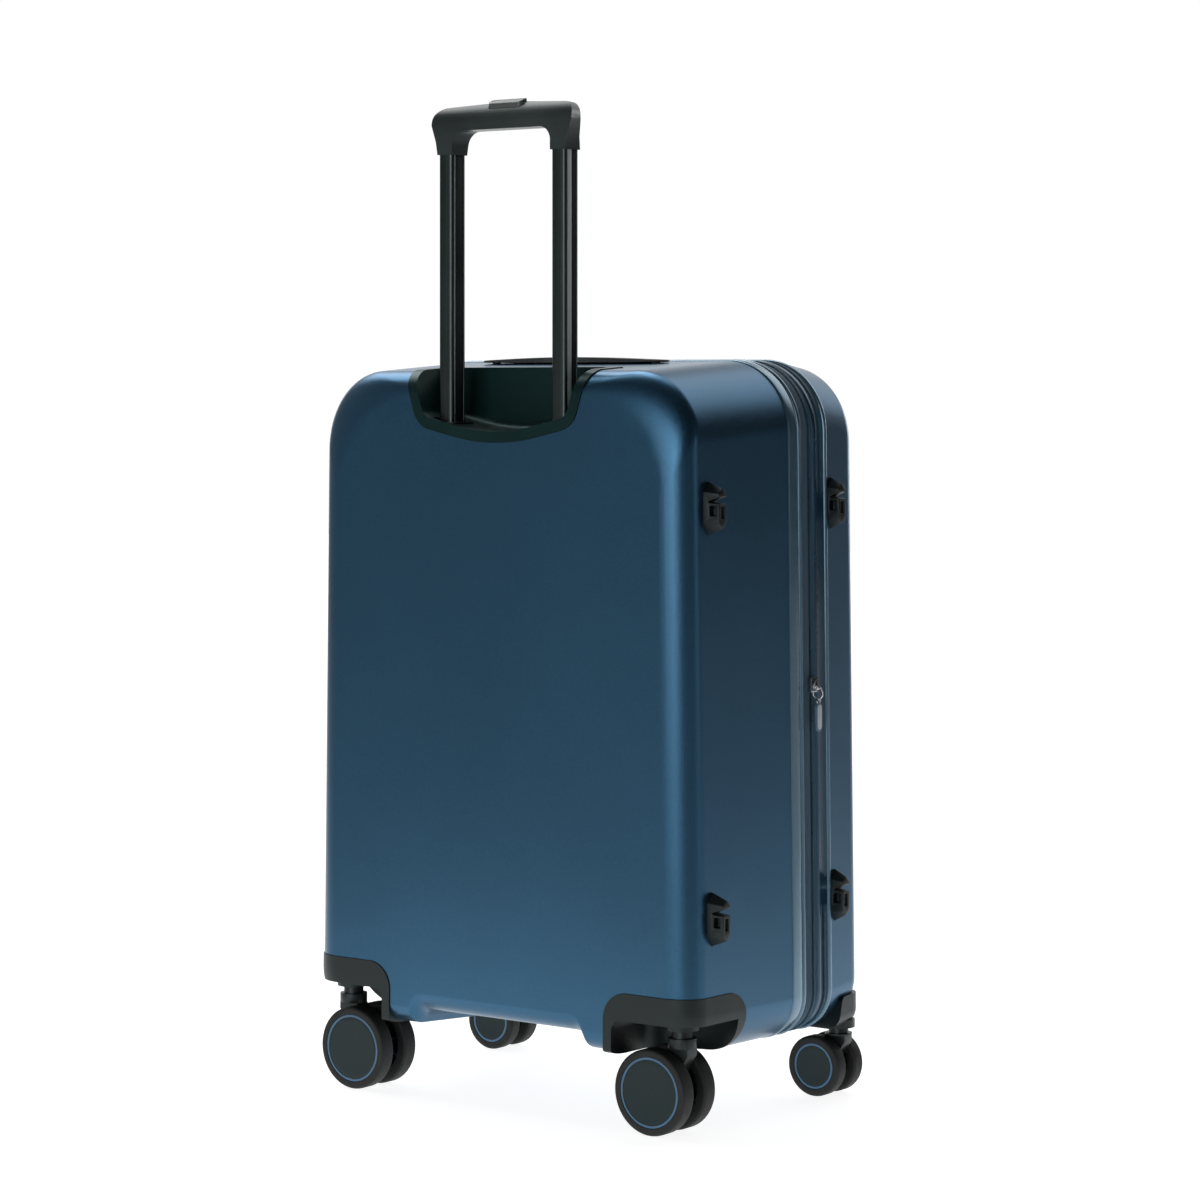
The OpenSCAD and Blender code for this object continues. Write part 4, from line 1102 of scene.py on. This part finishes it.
hem_line = pts[rows::rows + 1]
hem = []
for x, y, z in hem_line:
    hem += [(x, y - 0.6, z - 9), (x, y + 0.7, z - 9), (x, y + 1.1, z - 4.5), (x, y + 0.7, z), (x, y - 0.6, z)]
ends = [tuple(range(5)), tuple(reversed(range(len(hem) - 5, len(hem))))]
hem_faces = skin(5, len(hem_line)) + ends
stands_for(add("lid_pocket_hem", hem, hem_faces, STRAP), "lid", slot="mesh_black")

# ---- stage ----
floor_mat = Shader("floor_glowing_pool")


def along(direction):
    """Distance of a point of the floor along a direction."""
    n = floor_mat.node("ShaderNodeVectorMath", operation="DOT_PRODUCT")
    floor_mat.link(floor_mat.coord, n.inputs[0])
    n.inputs[1].default_value = direction
    return n.outputs["Value"]


# the floor glows: a painted pool of light, emitted by the floor itself, under and behind the case
depth = along((0.605, -0.796, 0))
aside = floor_mat.math("ABSOLUTE", along((0.796, 0.605, 0)), 0)
aside = floor_mat.math("SUBTRACT", aside, floor_mat.math("MULTIPLY", depth, 0.25))
pool = floor_mat.math("MULTIPLY", floor_mat.span(depth, -0.84, -0.40, 0.0, 1.0),
                      floor_mat.span(aside, 0.6, 1.6, 1.0, 0.0))
# emission strength: the painted glow of the pool, over a faint even glow of the whole floor
reach = floor_mat.math("ADD", floor_mat.math("MULTIPLY", pool, 0.80), 0.09)
greys = [(0.3, (0.42, 0.42, 0.42)), (0.7, (0.44, 0.44, 0.44))]
floor_mat.set(Base_Color=floor_mat.colour(floor_mat.noise(3, 2), *greys))
floor_mat.set(Roughness=0.7, Specular_IOR_Level=0.2)
floor_mat.set(Emission_Strength=reach, Emission_Color=(1.0, 1.0, 1.0))
FLOOR = 9000
floor = add("floor", [(x * FLOOR, y * FLOOR, -0.1) for x, y in ((-1, -1), (1, -1), (1, 1), (-1, 1))],
            [(0, 1, 2, 3)], floor_mat.mat)

world = bpy.data.worlds.new("studio")
scene.world = world
world.use_nodes = True
tree = world.node_tree
coord = tree.nodes.new("ShaderNodeTexCoord")


def glow(direction, low, high, strength, before=None):
    """Adds soft light from around a direction to the light that was there before."""
    dot = tree.nodes.new("ShaderNodeVectorMath")
    dot.operation = "DOT_PRODUCT"
    dot.inputs[1].default_value = Vector(direction).normalized()
    tree.links.new(coord.outputs["Generated"], dot.inputs[0])
    span = tree.nodes.new("ShaderNodeMapRange")
    span.interpolation_type = "SMOOTHSTEP"
    for k, v in zip(RANGE, (low, high, 0, strength)):
        span.inputs[k].default_value = v
    tree.links.new(dot.outputs["Value"], span.inputs["Value"])
    total = tree.nodes.new("ShaderNodeMath")
    if before is None:
        total.inputs[0].default_value = AMBIENT
    else:
        tree.links.new(before, total.inputs[0])
    tree.links.new(span.outputs["Result"], total.inputs[1])
    return total.outputs[0]


AMBIENT = 0.010
# direction, cosines at which the glow begins and is full, strength
GLOWS = (
    ((0.605, -0.796, 0.0), 0.80, 0.965, 1.0),
    ((0.05, 0.99, 0.02), 0.90, 0.97, 2.1),
    ((-0.28, 0.95, 0.08), 0.955, 0.985, 1.8),
    ((-0.08, -0.78, 0.62), 0.86, 0.99, 1.4),
    ((0.58, -0.20, 0.79), 0.88, 0.97, 3.6),
    ((0.05, -1.0, 0.08), 0.98, 0.997, 3.0),
    ((-0.97, -0.22, 0.06), 0.990, 0.998, 1.2),
    ((1, 0.15, 0.1), 0.60, 0.95, 0.2),
)
light = None
for direction, low, high, strength in GLOWS:
    light = glow(direction, low, high, strength, light)
tree.links.new(light, tree.nodes["Background"].inputs["Strength"])
tree.nodes["Background"].inputs["Color"].default_value = (1, 1, 1, 1)

TOP_LIGHT_M, TOP_AIM_M = Vector((0.3, -0.6, 3.2)), Vector((0, 0, 0.4))
light_data = bpy.data.lights.new("top", "AREA")
light_data.energy, light_data.size = 10, 1.6
lamp = bpy.data.objects.new("top", light_data)
lamp.location = TOP_LIGHT_M
lamp.rotation_euler = (TOP_AIM_M - TOP_LIGHT_M).to_track_quat("-Z", "Y").to_euler()
scene.collection.objects.link(lamp)
